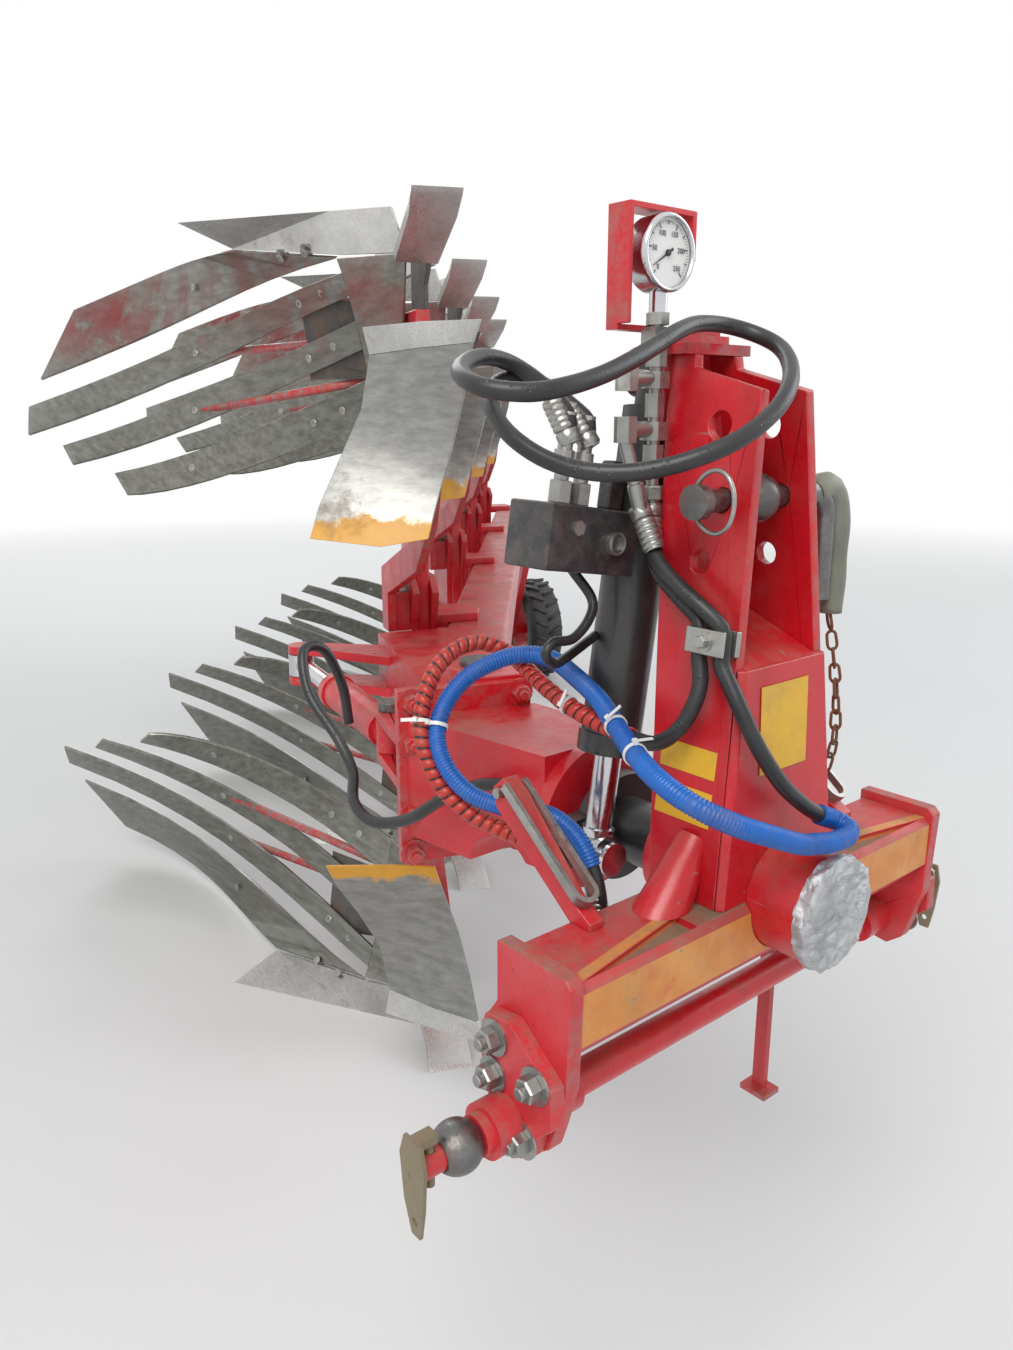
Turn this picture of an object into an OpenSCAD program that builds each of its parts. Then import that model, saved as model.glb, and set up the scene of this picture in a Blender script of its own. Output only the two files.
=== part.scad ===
// Mounted reversible mouldboard plough, four furrows, parked on its lower bodies.
// X across (plus X is the unploughed side), Y rearward, Z up from the ground.

/* [Headstock] */
// height of the lower link pins above the ground
ball_z = 800; // [700:5:850]
// height of the turnover axis above the lower link pins
axis_rise = 165; // [155:1:175]
// shoulder to shoulder over the lower link pins
link_span = 825; // [825:1:860]
// lower link pin diameter
link_pin_d = 28.6; // [28:0.1:37]
// lower link pin length past its shoulder
link_pin_len = 70; // [66:1:90]
// diameter of the ball on each lower link pin
ball_d = 56; // [56:1:64]
// width of the ball
ball_w = 45; // [44:0.5:46]
// top link pin diameter
top_pin_d = 25.4; // [25:0.1:32]
// height of the top link pin above the lower link pins
top_pin_rise = 621; // [600:1:640]
// half width of the mast over its plates at the foot
mast_foot = 111; // [105:1:120]
// inward lean of each mast plate
mast_lean = 6.5; // [5:0.1:7]
// thickness of each mast plate
mast_plate = 14; // [10:1:16]
// height of the mast above the lower link pins
mast_rise = 776; // [760:1:800]
// thickness of an end plate and of a pin flange
end_plate = 19; // [15:1:22]
// outside diameter of the turnover housing
housing_d = 130; // [120:1:140]
// diameter of the turnover shaft
shaft_d = 86; // [70:1:95]

/* [Turnover cylinder] */
// height of the cylinder's top pin above the lower link pins
pivot_rise = 761; // [755:1:770]
// place of the cylinder behind the lower link pins
cyl_y = 158; // [158:1:164]
// radius of the crank on the turnover shaft
crank_r = 90; // [85:1:95]
// outside diameter of the barrel
barrel_d = 76; // [60:1:80]
// rod diameter
rod_d = 35; // [30:1:40]
// outside radius of the rod's eye
rod_eye_r = 28; // [26:1:30]
// diameter of the pins in both eyes
eye_pin_d = 30; // [25:1:32]

/* [Frame] */
// yaw of the frame behind the headstock as parked
frame_yaw = 20; // [15:0.5:24]
// angle of the row of bodies to the direction of travel
row_angle = 21.5; // [18:0.5:30]
// distance from body to body along the row
body_gap = 945; // [900:5:1000]
// number of furrows
furrows = 4; // [2:1:5]
// side of the square main beam
main_side = 140; // [120:5:150]
// thickness of the beam's wall
main_wall = 10; // [8:1:12]
// tip of the first body across from the swing pin, in the frame's own directions
tip_u = 132; // [120:1:140]
// tip of the first body behind the swing pin
tip_w = 472; // [460:1:490]
// height from the turnover axis to each share tip
body_h = 965; // [920:5:1000]

/* [Bodies] */
// thickness of a slat
slat_t = 9; // [6:0.5:12]
// thickness of a share
share_t = 12; // [10:1:16]
// width of the point at the front of a share
point_w = 105; // [90:1:115]
// length of the point
point_len = 270; // [240:5:300]
// leg plate thickness
leg_t = 30; // [25:1:35]
// thickness of a skimmer's board
skim_t = 8; // [6:0.5:10]

/* [Stand and wheel] */
// width of the stand's bar across
stand_w = 12; // [10:1:20]
// width of the stand's bar fore and aft
stand_t = 20; // [16:1:30]
// height of the stand's foot above the ground as it hangs
stand_lift = 545; // [500:5:550]
// depth wheel diameter
wheel_d = 580; // [500:5:650]
// depth wheel width
wheel_w = 200; // [150:5:230]

/* [Hidden] */
$fn = 48;
fit = 0.3;
axis_z = ball_z + axis_rise;
mid_x = 1291;
mid_y = 2339;
shoulder = link_span / 2;
pin_set = 79.5;
beam_half = shoulder - pin_set;
ball_x = shoulder + ball_w / 2 + 0.2;
beam_front = -70;
beam_back = 34;
beam_low = 60;
beam_top = 171;
beam_depth = beam_back - beam_front;
flange_x = beam_half + end_plate;
sleeve_x = flange_x + end_plate;
housing_front = -124;
housing_back = 100;
plate_rear = 104;
crank_y = 190;
crank_t = 24;
console_y = 240;
swing_x = 55;
swing_y = 576;
hinge_half = 147;
hinge_pin_d = 50;
rod_eye_slack = 4.2;
pivot_z = ball_z + pivot_rise;
reach = pivot_rise - axis_rise;
barrel_tilt = atan(crank_r / reach);
pin_dist = sqrt(reach * reach + crank_r * crank_r);
stroke = pin_dist - (reach - crank_r);
gland = pin_dist - stroke - rod_eye_r - 10;
red = [0.78, 0.06, 0.08];
steel = [0.45, 0.45, 0.43];
grey = [0.38, 0.4, 0.38];
black = [0.07, 0.07, 0.08];
chrome = [0.8, 0.8, 0.82];
orange = [0.86, 0.42, 0.1];

// control points of the mouldboard's surface: a row from the share up to the top edge
// at the root, two between, and one at the tail
board_net = [
    [[-190, 325, 60], [-185, 250, 90], [-65, 405, 435]],
    [[-515, 515, 75], [-185, 925, 110], [-360, 930, 615]],
    [[-345, 1400, -65], [-540, 1165, 420], [-740, 885, 705]],
    [[-880, 1600, 150], [-1235, 1540, 650], [-695, 910, 580]]];
// each slat: its lower and upper place across the board, where each edge starts, where it ends
slat_bands = [[0, 0.24, 0.3, 0.02, 0.93], [0.35, 0.49, 0.02, 0.02, 0.94],
    [0.61, 0.73, 0.02, 0.02, 0.87], [0.84, 0.97, 0.02, 0.02, 0.76]];

// solid through a list of rings, each with the same number of points and wound
// anticlockwise as seen from the last ring's end; each quad is split along its shorter
// diagonal, so both sides of a twisted plate are split alike
module loft(rings) {
    n = len(rings[0]);
    k = (len(rings) - 1) * n;
    points = [for (ring = rings) for (p = ring) p];
    sides = [for (i = [0:n:k - n]) for (j = [0:n - 1]) let (a = i + j, b = i + (j + 1) % n)
        each norm(points[a] - points[b + n]) < norm(points[b] - points[a + n])
            ? [[a, a + n, b + n], [a, b + n, b]] : [[a, a + n, b], [b, a + n, b + n]]];
    first = [for (j = [1:n - 2]) [0, j, j + 1]];
    last = [for (j = [1:n - 2]) [k, k + j + 1, k + j]];
    polyhedron(points, concat(sides, first, last), convexity = 6);
}

function unit(v) = v / norm(v);

module along_y(y0, y1, d) {
    translate([0, y0, 0]) rotate([-90, 0, 0]) cylinder(d = d, h = y1 - y0);
}

module along_x(x0, x1, d) {
    translate([x0, 0, 0]) rotate([0, 90, 0]) cylinder(d = d, h = x1 - x0);
}

// plate standing across X from an outline in Y and Z
module plate_x(x0, x1, outline) {
    translate([x0, 0, 0]) rotate([90, 0, 90]) linear_extrude(x1 - x0) polygon(outline);
}

// plate standing across Y from an outline in X and Z
module plate_y(y0, y1, outline) {
    translate([0, y1, 0]) rotate([90, 0, 0]) linear_extrude(y1 - y0) polygon(outline);
}

module both_sides() {
    for (side = [0, 1]) mirror([side, 0, 0]) children();
}

// places children relative to the lower link line
module at_links() {
    translate([0, 0, ball_z]) children();
}

// places children on the turnover axis
module at_axis() {
    translate([0, 0, axis_z]) children();
}

// places children in the frame's own directions round the swing pin
module in_frame() {
    translate([swing_x, swing_y, axis_z]) rotate([0, 0, -frame_yaw]) children();
}

row_step = [body_gap * sin(row_angle), body_gap * cos(row_angle), 0];
row_side = [cos(row_angle), -sin(row_angle), 0];

// one child for each furrow and set: set 0 is the lower one, 1 the upper one
module each_body(sets = [0, 1]) {
    in_frame() for (set = sets) mirror([0, 0, set])
        for (i = [0:furrows - 1])
            translate([tip_u, tip_w, -body_h] + i * row_step) children();
}

// the housing's own room, cut out of what it passes through
module housing_room() {
    translate([0, 0, axis_rise]) along_y(housing_front - 1, housing_back + 1, housing_d + 2 * fit);
}

beam_section = [[beam_front, 103], [beam_front, 162], [beam_front + 9, beam_top],
    [beam_back, beam_top], [beam_back, beam_low], [-30, beam_low]];

module crossbeam() {
    color(red) at_links() difference() {
        plate_x(-beam_half, beam_half, beam_section);
        housing_room();
        both_sides() translate([0, 0, beam_top - 9]) linear_extrude(20)
            polygon([[beam_half - 12, beam_front + 9], [150, beam_front + 9], [150, -30]]);
    }
}

end_outline = [[-74, 176], [-66, 184], [38, 184], [38, 114], [66, 73], [42, 20], [10, -34],
    [-24, -38], [-46, -20], [-56, 10], [-70, 60]];
flange_outline = [[44, 82], [34, 109], [-4, 115], [-68, 69], [-70, 26], [-47, 4], [-38, -26],
    [-21, -36], [4, -30], [38, 26]];

module end_plates() {
    color(red) at_links() both_sides() difference() {
        plate_x(beam_half, flange_x, end_outline);
        along_x(beam_half - 1, flange_x + 1, 44 + 2 * fit);
    }
}

module pin_flanges() {
    color(red) at_links() both_sides() difference() {
        plate_x(flange_x, sleeve_x, flange_outline);
        along_x(flange_x - 1, sleeve_x + 1, 44 + 2 * fit);
    }
}

module cross_bar() {
    color(red) at_links() {
        along_x(-beam_half + 50, beam_half - 50, 38);
        both_sides() along_x(beam_half - 50, beam_half, 54);
    }
}

// stepped link pin with its collar, and the cross hole for its linch pin
module link_pins() {
    color(red) at_links() both_sides() difference() {
        union() {
            along_x(beam_half + 1, shoulder, 44);
            along_x(sleeve_x, sleeve_x + 31, 60);
            along_x(shoulder, shoulder + link_pin_len, link_pin_d);
        }
        translate([shoulder + link_pin_len - 13, 0, -30]) cylinder(d = 12, h = 60);
    }
}

// ball with a bore along X, cut flat at both ends
module link_ball(d, w, bore) {
    rotate([0, 90, 0]) rotate_extrude() intersection() {
        circle(d = d);
        translate([bore / 2, -w / 2]) square([d, w]);
    }
}

module link_balls() {
    color(chrome) at_links() both_sides()
        translate([ball_x, 0, 0]) link_ball(ball_d, ball_w, link_pin_d + fit);
}

flag_outline = [[-14, 34], [14, 34], [22, 10], [16, -40], [4, -74], [-10, -74], [-16, -40], [-20, 8]];

// linch pin through the end of each link pin, with its flat flag outside
module linch_flags() {
    color(steel) at_links() both_sides() translate([shoulder + link_pin_len - 13, 0, 0]) {
        translate([0, 0, -26]) cylinder(d = 11, h = 50);
        translate([-6, -8, 24]) cube([22, 16, 10]);
        difference() {
            plate_x(16, 20, flag_outline);
            translate([0, -2, -58]) along_x(10, 30, 9);
        }
    }
}

// height along a mast plate from its foot, and its faces and front edge at a height
function up_plate(z) = (z - beam_top) / cos(mast_lean);
function plate_out(z) = mast_foot - (z - beam_top) * tan(mast_lean);
function plate_in(z) = plate_out(z) - mast_plate / cos(mast_lean);
function mast_front(z) = -51.6 + (z - beam_top) * 0.0435;

// places children against a mast plate's outer face: X outward, Z up the plate
module on_plate() {
    translate([mast_foot, 0, beam_top]) rotate([0, -mast_lean, 0]) children();
}

plate_outline = [[-51.6, 171], [-27, 737], [66, 762], [70, 800], [plate_rear, 800],
    [plate_rear, 727], [47, 171]];
plate_holes = [[8, top_pin_rise, top_pin_d + 0.6], [23, 700, 30], [28, 552, 26]];

module mast_plates() {
    color(red) at_links() difference() {
        both_sides() on_plate() plate_x(-mast_plate, 0,
            [for (p = plate_outline) [p[0], up_plate(p[1]) - (p[1] == beam_top ? 5 : 0)]]);
        translate([-200, -200, beam_top - 50]) cube([400, 400, 50]);
        translate([-200, -200, mast_rise]) cube([400, 400, 100]);
        for (h = plate_holes) translate([0, h[0], h[1]]) along_x(-150, 150, h[2]);
        housing_room();
    }
}

function core_ring(z0, z1, y0, y1) = let (a = plate_in(z0) - fit, b = plate_in(z1) - fit)
    [[-a, y0, z0], [a, y0, z0], [b, y1, z1], [-b, y1, z1]];
function cover_ring(z) = let (o = plate_out(z), f = mast_front(z))
    [[-o, f - 2, z], [7 - o, f - 9, z], [o - 7, f - 9, z], [o, f - 2, z], [o, f, z], [-o, f, z]];

// closed box between the plates, its front cover over their edges, and the rear web
module mast_box() {
    color(red) at_links() difference() {
        union() {
            loft([core_ring(beam_top, beam_top, mast_front(beam_top), 40),
                core_ring(442, 486, mast_front(442), 62)]);
            loft([cover_ring(beam_top), cover_ring(442)]);
            loft([core_ring(490, 490, 68, 76), core_ring(735, 735, 93, 101)]);
        }
        housing_room();
    }
}

// cast feet that lean from the crossbeam into the mast
module mast_feet() {
    color(red) at_links() both_sides() difference() {
        translate([156, -6, beam_top - 20]) rotate([0, -35, 0]) cylinder(r1 = 34, r2 = 20, h = 110);
        translate([0, -100, beam_top - 100]) cube([400, 200, 100]);
        on_plate() translate([-400, -200, -100]) cube([400, 400, 500]);
    }
}

module mast_lid() {
    color(red) at_links() translate([-56, 68, mast_rise]) cube([112, plate_rear - 68, 12]);
}

// top link pin with its ball, collar and bent handle
module top_pin() {
    out = plate_out(top_pin_rise);
    color(chrome) at_links() translate([0, 8, top_pin_rise]) {
        along_x(-out - 34, out + 34, top_pin_d);
        translate([-out - 34, 0, 0]) along_x(-14, 0, 38);
        link_ball(56, 51, top_pin_d + fit);
        translate([out + 34, 0, 0]) along_x(0, 12, 29);
        translate([out + 46, 0, -30]) rotate([90, 0, 0]) rotate_extrude(angle = 90)
            translate([30, 0]) circle(d = 29);
        translate([out + 76, 0, -130]) cylinder(d = 29, h = 100);
    }
}

module housing() {
    color(red) at_axis() difference() {
        along_y(housing_front, housing_back, housing_d);
        along_y(housing_front - 1, housing_back + 1, shaft_d + 2 * fit);
    }
}

module shaft_cap() {
    color(steel) at_axis() {
        along_y(housing_front - 14, housing_front, housing_d + 4);
        along_y(housing_front - 20, housing_front - 14, housing_d - 8);
    }
}

pivot_top = pivot_rise + 39;

// plate behind the mast with the pin of the turnover cylinder
module pivot_plate() {
    color(red) at_links() {
        translate([-52, plate_rear, 700]) cube([112, 10, pivot_top - 700]);
        translate([0, 0, pivot_rise]) {
            along_y(plate_rear + 10, cyl_y + 38, eye_pin_d);
            along_y(cyl_y + 38, cyl_y + 44, 44);
        }
    }
}

gauge_x = -73;

module gauge_bracket() {
    color(red) at_links() {
        translate([-125, 109, pivot_top]) cube([175, 17, 6]);
        plate_y(94, 126, [[-125, pivot_top + 6], [-119, pivot_top + 6], [-119, 921], [-25, 921],
            [-25, 875], [-19, 875], [-19, 927], [-125, 927]]);
    }
}

module gauge() {
    color(chrome) at_links() translate([gauge_x, 0, 879]) {
        along_y(88, 112, 79);
        translate([0, 98, -60]) cylinder(d = 20, h = 24);
    }
}

// column of unions under the gauge: each entry is its foot, its height and its width
unions = [[648, 30, 24], [683, 20, 32], [708, 26, 22], [739, 18, 32], [762, 20, 24], [806, 13, 26]];

module gauge_fittings() {
    color(steel) at_links() translate([gauge_x, 98, 0]) {
        translate([0, 0, 633]) cylinder(d = 14, h = 186);
        for (u = unions) translate([0, 0, u[0]]) cylinder(d = u[2], h = u[1], $fn = 6);
        translate([-14, -10, 786]) cube([28, 21, 18]);
        for (z = [695, 750]) translate([0, 0, z]) {
            along_x(-46, 0, 18);
            translate([-46, 0, -14]) cylinder(d = 26, h = 28, $fn = 6);
        }
    }
}

module hose_clamp() {
    color(steel) at_links() mirror([1, 0, 0]) on_plate() {
        translate([0, -34, up_plate(471) - 14]) cube([12, 52, 28]);
        translate([26, -34, up_plate(471) - 14]) cube([4, 52, 28]);
        translate([12, -8 - 7, up_plate(471) - 10]) cube([14, 10, 20]);
    }
}

latch_rise = atan2(295 - 188, 154 - 17);

// arms behind the crossbeam that carry the two wire bails
module latch_arms() {
    color(red) at_links() both_sides() difference() {
        plate_x(230, 252, [[2, beam_top], [beam_back, beam_top], [162, 268], [168, 290], [150, 306],
            [128, 292], [30, 196], [2, 180]]);
        translate([0, 152, 288]) along_x(220, 260, 12 + 2 * fit);
    }
}

module latch_bails() {
    color(steel) at_links() both_sides() {
        translate([0, 152, 288]) along_x(222, 260, 12);
        translate([241, 17, 195.3]) rotate([latch_rise, 0, 0]) {
            for (side = [-1, 1]) translate([side * (14 + fit) - 3, 15, 0]) cube([6, 148, 11]);
            translate([0, 15, 0]) rotate([0, 0, 180]) rotate_extrude(angle = 180)
                translate([11 + fit, 0]) square([6, 11]);
        }
    }
}

stand_x = 165;
stand_y = 60;
socket_low = 70;
stand_top = 230;

module stand_socket() {
    color(red) at_links() difference() {
        translate([stand_x - stand_w / 2 - 8, beam_back, socket_low])
            cube([stand_w + 16, stand_y + stand_t / 2 + 8 - beam_back, 84]);
        translate([stand_x - stand_w / 2 - fit, stand_y - stand_t / 2 - fit, 0])
            cube([stand_w + 2 * fit, stand_t + 2 * fit, 400]);
    }
}

module stand_leg() {
    color(red) translate([stand_x, stand_y, stand_lift]) {
        translate([-stand_w / 2, -stand_t / 2, 0])
            cube([stand_w, stand_t, ball_z + stand_top - stand_lift]);
        difference() {
            translate([-18, -22, 0]) cube([36, 44, 8]);
            translate([-stand_w / 2, -stand_t / 2, -1]) cube([stand_w, stand_t, 20]);
        }
    }
}

// places children at the barrel's pin, with minus Z along the rod
module at_barrel() {
    translate([0, cyl_y, pivot_z]) rotate([0, barrel_tilt, 0]) children();
}

module turn_barrel() {
    color(black) at_barrel() difference() {
        union() {
            along_y(-34, 34, 60);
            translate([0, 0, -46]) cylinder(d = 50, h = 40);
            translate([0, 0, -gland]) cylinder(d = barrel_d, h = gland - 44);
            translate([0, 0, -gland]) cylinder(d = barrel_d + 6, h = 26);
        }
        along_y(-60, 60, eye_pin_d + 2 * fit);
        translate([0, 0, -gland - 1]) cylinder(d = rod_d + 2 * fit, h = stroke + 60);
    }
}

module valve_block() {
    color(black) at_barrel() translate([-barrel_d / 2 - fit, 0, 0]) {
        translate([-112, -36, -245]) cube([112, 72, 92]);
        for (x = [-92, -62]) translate([x, -16, -153]) cylinder(d = 24, h = 34, $fn = 6);
        translate([-30, -10, -153]) cube([24, 20, 40]);
    }
}

module turn_rod() {
    color(chrome) at_barrel() translate([0, 0, -pin_dist]) {
        difference() {
            union() {
                along_y(-22, 22, 2 * rod_eye_r);
                cylinder(d = rod_d, h = stroke + 68);
                translate([0, 0, rod_eye_r - 4]) cylinder(d = rod_d + 8, h = 10);
            }
            along_y(-30, 30, eye_pin_d + 2 * fit);
        }
        along_y(-28, crank_y - cyl_y - 1, eye_pin_d);
        along_y(-34, -28, eye_pin_d + 14);
    }
}

module turn_shaft() {
    color(black) at_axis() {
        along_y(housing_front + 10, console_y, shaft_d);
        along_y(crank_y, crank_y + crank_t, 150);
        translate([-crank_r, 0, 0]) along_y(crank_y, crank_y + crank_t, 66);
        translate([-crank_r, crank_y, -33]) cube([crank_r, crank_t, 66]);
    }
}

plate_w = -94;
console_plan = [[-85, console_y + 22], [85, console_y + 22], [75, 540], [-130, 610]];

// welded box from the shaft's flange to the hinge plate, with an arch through its foot
module console() {
    color(red) difference() {
        union() {
            at_axis() along_y(console_y, console_y + 22, 210);
            at_axis() translate([0, 0, -95]) linear_extrude(195) polygon(console_plan);
        }
        in_frame() translate([-400, plate_w, -300]) cube([800, 600, 600]);
        at_axis() translate([0, 345, -100]) along_x(-200, 200, 120);
        at_axis() translate([-200, 262, -96]) cube([400, 83, 30]);
    }
}

swing_a = [-124, 125, 0];
swing_b = [-193, 706, 0];
swing_yaw = atan2(swing_a[0] - swing_b[0], swing_b[1] - swing_a[1]);
swing_len = norm(swing_b - swing_a);

// hinge plate with its knuckle ears and the ears of the swing cylinder
module hinge_plate() {
    color(red) in_frame() difference() {
        union() {
            translate([-165, plate_w, -144]) cube([217, 22, 283]);
            for (z = [122, -hinge_half]) translate([0, 0, z]) {
                cylinder(d = 116, h = hinge_half - 122);
                translate([-50, plate_w + 10, 0]) cube([100, -plate_w - 10, hinge_half - 122]);
            }
            for (z = [28, -46]) translate([swing_a[0], 0, z]) {
                translate([0, swing_a[1], 0]) cylinder(d = 56, h = 18);
                translate([-28, plate_w + 10, 0]) cube([56, swing_a[1] - plate_w - 10, 18]);
            }
        }
        translate([0, 0, -200]) cylinder(d = hinge_pin_d + 2 * fit, h = 400);
        translate([swing_a[0], swing_a[1], -200]) cylinder(d = 30 + 2 * fit, h = 400);
    }
}

module swing_pins() {
    color(steel) in_frame() {
        translate([0, 0, -hinge_half - 8]) cylinder(d = hinge_pin_d, h = 2 * hinge_half + 16);
        translate([0, 0, hinge_half]) cylinder(d = 72, h = 8);
        translate([swing_a[0], swing_a[1], -52]) cylinder(d = 30, h = 112);
        translate([swing_a[0], swing_a[1], 47]) cylinder(d = 46, h = 14);
    }
}

// places children at the swing cylinder's front pin, with Y along the rod
module at_swing() {
    in_frame() translate(swing_a) rotate([0, 0, swing_yaw]) children();
}

module swing_barrel() {
    color(red) at_swing() difference() {
        union() {
            translate([0, 0, -27]) cylinder(d = 56, h = 54);
            along_y(15, 34, 52);
            along_y(33, 330, 66);
            along_y(306, 330, 74);
        }
        translate([0, 0, -50]) cylinder(d = 30 + 2 * fit, h = 100);
        along_y(120, 340, 36 + 2 * fit);
    }
}

module swing_rod() {
    color(chrome) at_swing() difference() {
        union() {
            along_y(200, swing_len - 20, 36);
            translate([0, swing_len, -24]) cylinder(d = 56, h = 48);
        }
        translate([0, swing_len, -50]) cylinder(d = 30 + 2 * rod_eye_slack, h = 100);
    }
}

leg_first = [tip_u - 40, tip_w + 300, 0];
beam_off = 150;
beam_ref = leg_first + beam_off * row_side;
beam_start = -330;
beam_len = (furrows - 1) * body_gap + 260 - beam_start;

// places children at the main beam's front end, with Y along the beam
module at_beam() {
    in_frame() translate(beam_ref) rotate([0, 0, -row_angle]) translate([0, beam_start, 0]) children();
}

module beam_room(side, extra) {
    at_beam() translate([-side / 2, -extra, -side / 2]) cube([side, beam_len + 2 * extra, side]);
}

module main_beam() {
    color(red) {
        difference() {
            beam_room(main_side, 0);
            beam_room(main_side - 2 * main_wall, 1);
        }
        at_beam() for (y = [-12, beam_len]) translate([-main_side / 2, y, -main_side / 2])
            cube([main_side, 12, main_side]);
    }
}

ear_low = -44;
ear_t = 18;

// arm from the hinge to the main beam, with the rear ears and pin of the swing cylinder
module frame_arm() {
    color(red) difference() {
        in_frame() {
            translate([0, 0, -121.5]) cylinder(d = 116, h = 243);
            loft([[[-50, 20, -110], [-50, 20, 110], [50, 20, 110], [50, 20, -110]],
                [[-50, 160, -72], [-50, 160, 72], [55, 160, 72], [55, 160, -72]],
                [[-30, 640, -72], [-30, 640, 72], [190, 640, 72], [190, 640, -72]]]);
            for (z = [ear_low, -ear_low - ear_t]) translate([0, 0, z]) {
                translate([swing_b[0], swing_b[1], 0]) cylinder(d = 56, h = ear_t);
                linear_extrude(ear_t) polygon([[-20, 500], [-20, 640],
                    [swing_b[0], swing_b[1] + 28], [swing_b[0], swing_b[1] - 28]]);
            }
            translate([swing_b[0], swing_b[1], ear_low]) cylinder(d = 30, h = -2 * ear_low);
        }
        beam_room(main_side, 20);
        in_frame() translate([0, 0, -200]) cylinder(d = hinge_pin_d + 2 * fit, h = 400);
    }
}

bracket_outline = [[-100, -150], [-66, -185], [66, -185], [100, -150], [76, -60], [76, 60],
    [100, 150], [66, 185], [-66, 185], [-100, 150], [-76, 60], [-76, -60]];

// one child for each furrow at its leg
module each_leg() {
    in_frame() for (i = [0:furrows - 1]) translate(leg_first + i * row_step) children();
}

// pairs of plates that clasp the legs, and the spacers that join them to the beam
module leg_brackets() {
    color(red) difference() {
        each_leg() {
            for (u = [-leg_t / 2 - 16, leg_t / 2]) plate_x(u, u + 16, bracket_outline);
            for (z = [-90, 60]) translate([leg_t / 2 + 10, -66, z]) cube([130, 132, 30]);
        }
        beam_room(main_side, 20);
        at_beam() translate([0, -100, -300]) cube([400, beam_len + 200, 600]);
    }
}

leg_outline = [[-76, 0], [-76, 190], [-96, 420], [-112, 600], [-118, 760], [36, 760], [24, 600],
    [34, 420], [76, 190], [76, 0]];

module legs() {
    color(red) each_leg() for (set = [0, 1]) mirror([0, 0, set])
        plate_x(-leg_t / 2, leg_t / 2, [for (p = leg_outline) [p[0], p[1]]]);
}

// point of the mouldboard's surface at s along it and t across it
function across(row, t) = (1 - t) * (1 - t) * row[0] + 2 * t * (1 - t) * row[1] + t * t * row[2];
function board(s, t) = let (r = [for (row = board_net) across(row, t)], q = 1 - s)
    q * q * q * r[0] + 3 * q * q * s * r[1] + 3 * q * s * s * r[2] + s * s * s * r[3];
function board_back(s, t) = unit(cross(board(s + 0.01, t) - board(s - 0.01, t),
    board(s, t + 0.01) - board(s, t - 0.01)));

// section across a slat where its lower edge is at s0 and its upper edge at s1
function slat_ring(s0, s1, t0, t1) = let (a = board(s0, t0), b = board(s1, t1),
    n = board_back((s0 + s1) / 2, (t0 + t1) / 2) * slat_t) [a, b, b + n, a + n];

slat_steps = 9;

module slat_set() {
    for (b = slat_bands) loft([for (j = [0:slat_steps]) let (q = j / slat_steps,
        s0 = b[2] + (b[4] - b[2]) * q, s1 = b[3] + (b[4] - b[3]) * q)
        slat_ring(s0, s1, b[0], b[1])]);
}

module slats_upper() {
    color(grey) each_body([1]) slat_set();
}

module slats_lower() {
    color(grey) each_body([0]) slat_set();
}

// front part of the mouldboard, from its leading edge to the roots of the slats
shin_steps = [for (b = slat_bands) each [b[0], b[1]]];
function shin_front(z) = [-71, 205 + (z - 100) * 0.25, z];
function shin_ring(t) = let (r = board(0.02, t), f = shin_front(r[2]),
    n = unit(cross(r - f, [0, 0, 1])) * slat_t, e = unit(r - f) * 0.8)
    [f, f + n, r - e + board_back(0.03, t) * slat_t, r - e];

module shins() {
    color(grey) each_body() loft([for (k = [1:len(shin_steps) - 1]) shin_ring(shin_steps[k])]);
}

// casting between the leg's foot and the roots of the slats
leg_at = [-40, 300];
function frog_ring(t) = let (r = board(0.09, t), q = board(0.17, t), n = board_back(0.12, t) * (slat_t + 1),
    u = leg_at[0] - leg_t / 2 - fit, z = r[2] + 30)
    [r + n, [u, shin_front(z)[1] + 35, z], [u, leg_at[1] + 22, z], q + n];

module frogs() {
    color(grey) each_body() {
        loft([for (t = [0.45, 0.6, 0.75]) frog_ring(t)]);
        plate_x(leg_at[0] + leg_t / 2 + fit, -14 - fit,
            [[203.4, 70], [335, 30], [335, 420], [225, 420], [225, 150], [203.4, 120]]);
    }
}

share_edge = [[-95, 225, 0], [-205, 318, 0], [-505, 575, 0]];
share_seam = [[-70, 202.6, 92], [-191, 318, 88], [-379, 638, 41]];

module shares() {
    color(steel) each_body() loft([for (k = [0:2]) let (a = share_edge[k], b = share_seam[k],
        n = unit(cross(share_edge[2] - share_edge[0], b - a)) * share_t)
        [a, b - (b - a) * 0.01, b - (b - a) * 0.01 + n, a + [n[0], n[1], 0]]]);
}

// reversible point that runs forward of the share
module points() {
    color(steel) each_body() loft([
        [[-point_w, 10, 0], [-point_w, 18, 12], [-4, 8, 12], [-4, 0, 0]],
        [[-point_w + 6, 60, 22], [-point_w + 6, 62, 46], [0, 60, 44], [0, 60, 20]],
        [[-point_w + 10, 203, 88], [-point_w + 10, 199, 112], [0, 199, 112], [0, 203, 88]]]);
}

module landsides() {
    color(steel) each_body() difference() {
        plate_x(-14, 0, [[215, 2], [730, 2], [730, 96], [640, 112], [215, 112]]);
        for (w = [300, 420]) translate([0, w, 60]) along_x(-20, 10, 14);
    }
}

// stem of each skimmer, bent forward from its clamp on the leg's bracket
stem_u = -85;
stem_t = 20;
stem_outline = [[-76, 60], [-76, 150], [-330, 235], [-430, 330], [-478, 440], [-483.5, 485], [-477.5, 575],
    [-440, 590], [-400, 480], [-340, 350], [-280, 290], [-20, 205], [-20, 60]];

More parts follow.
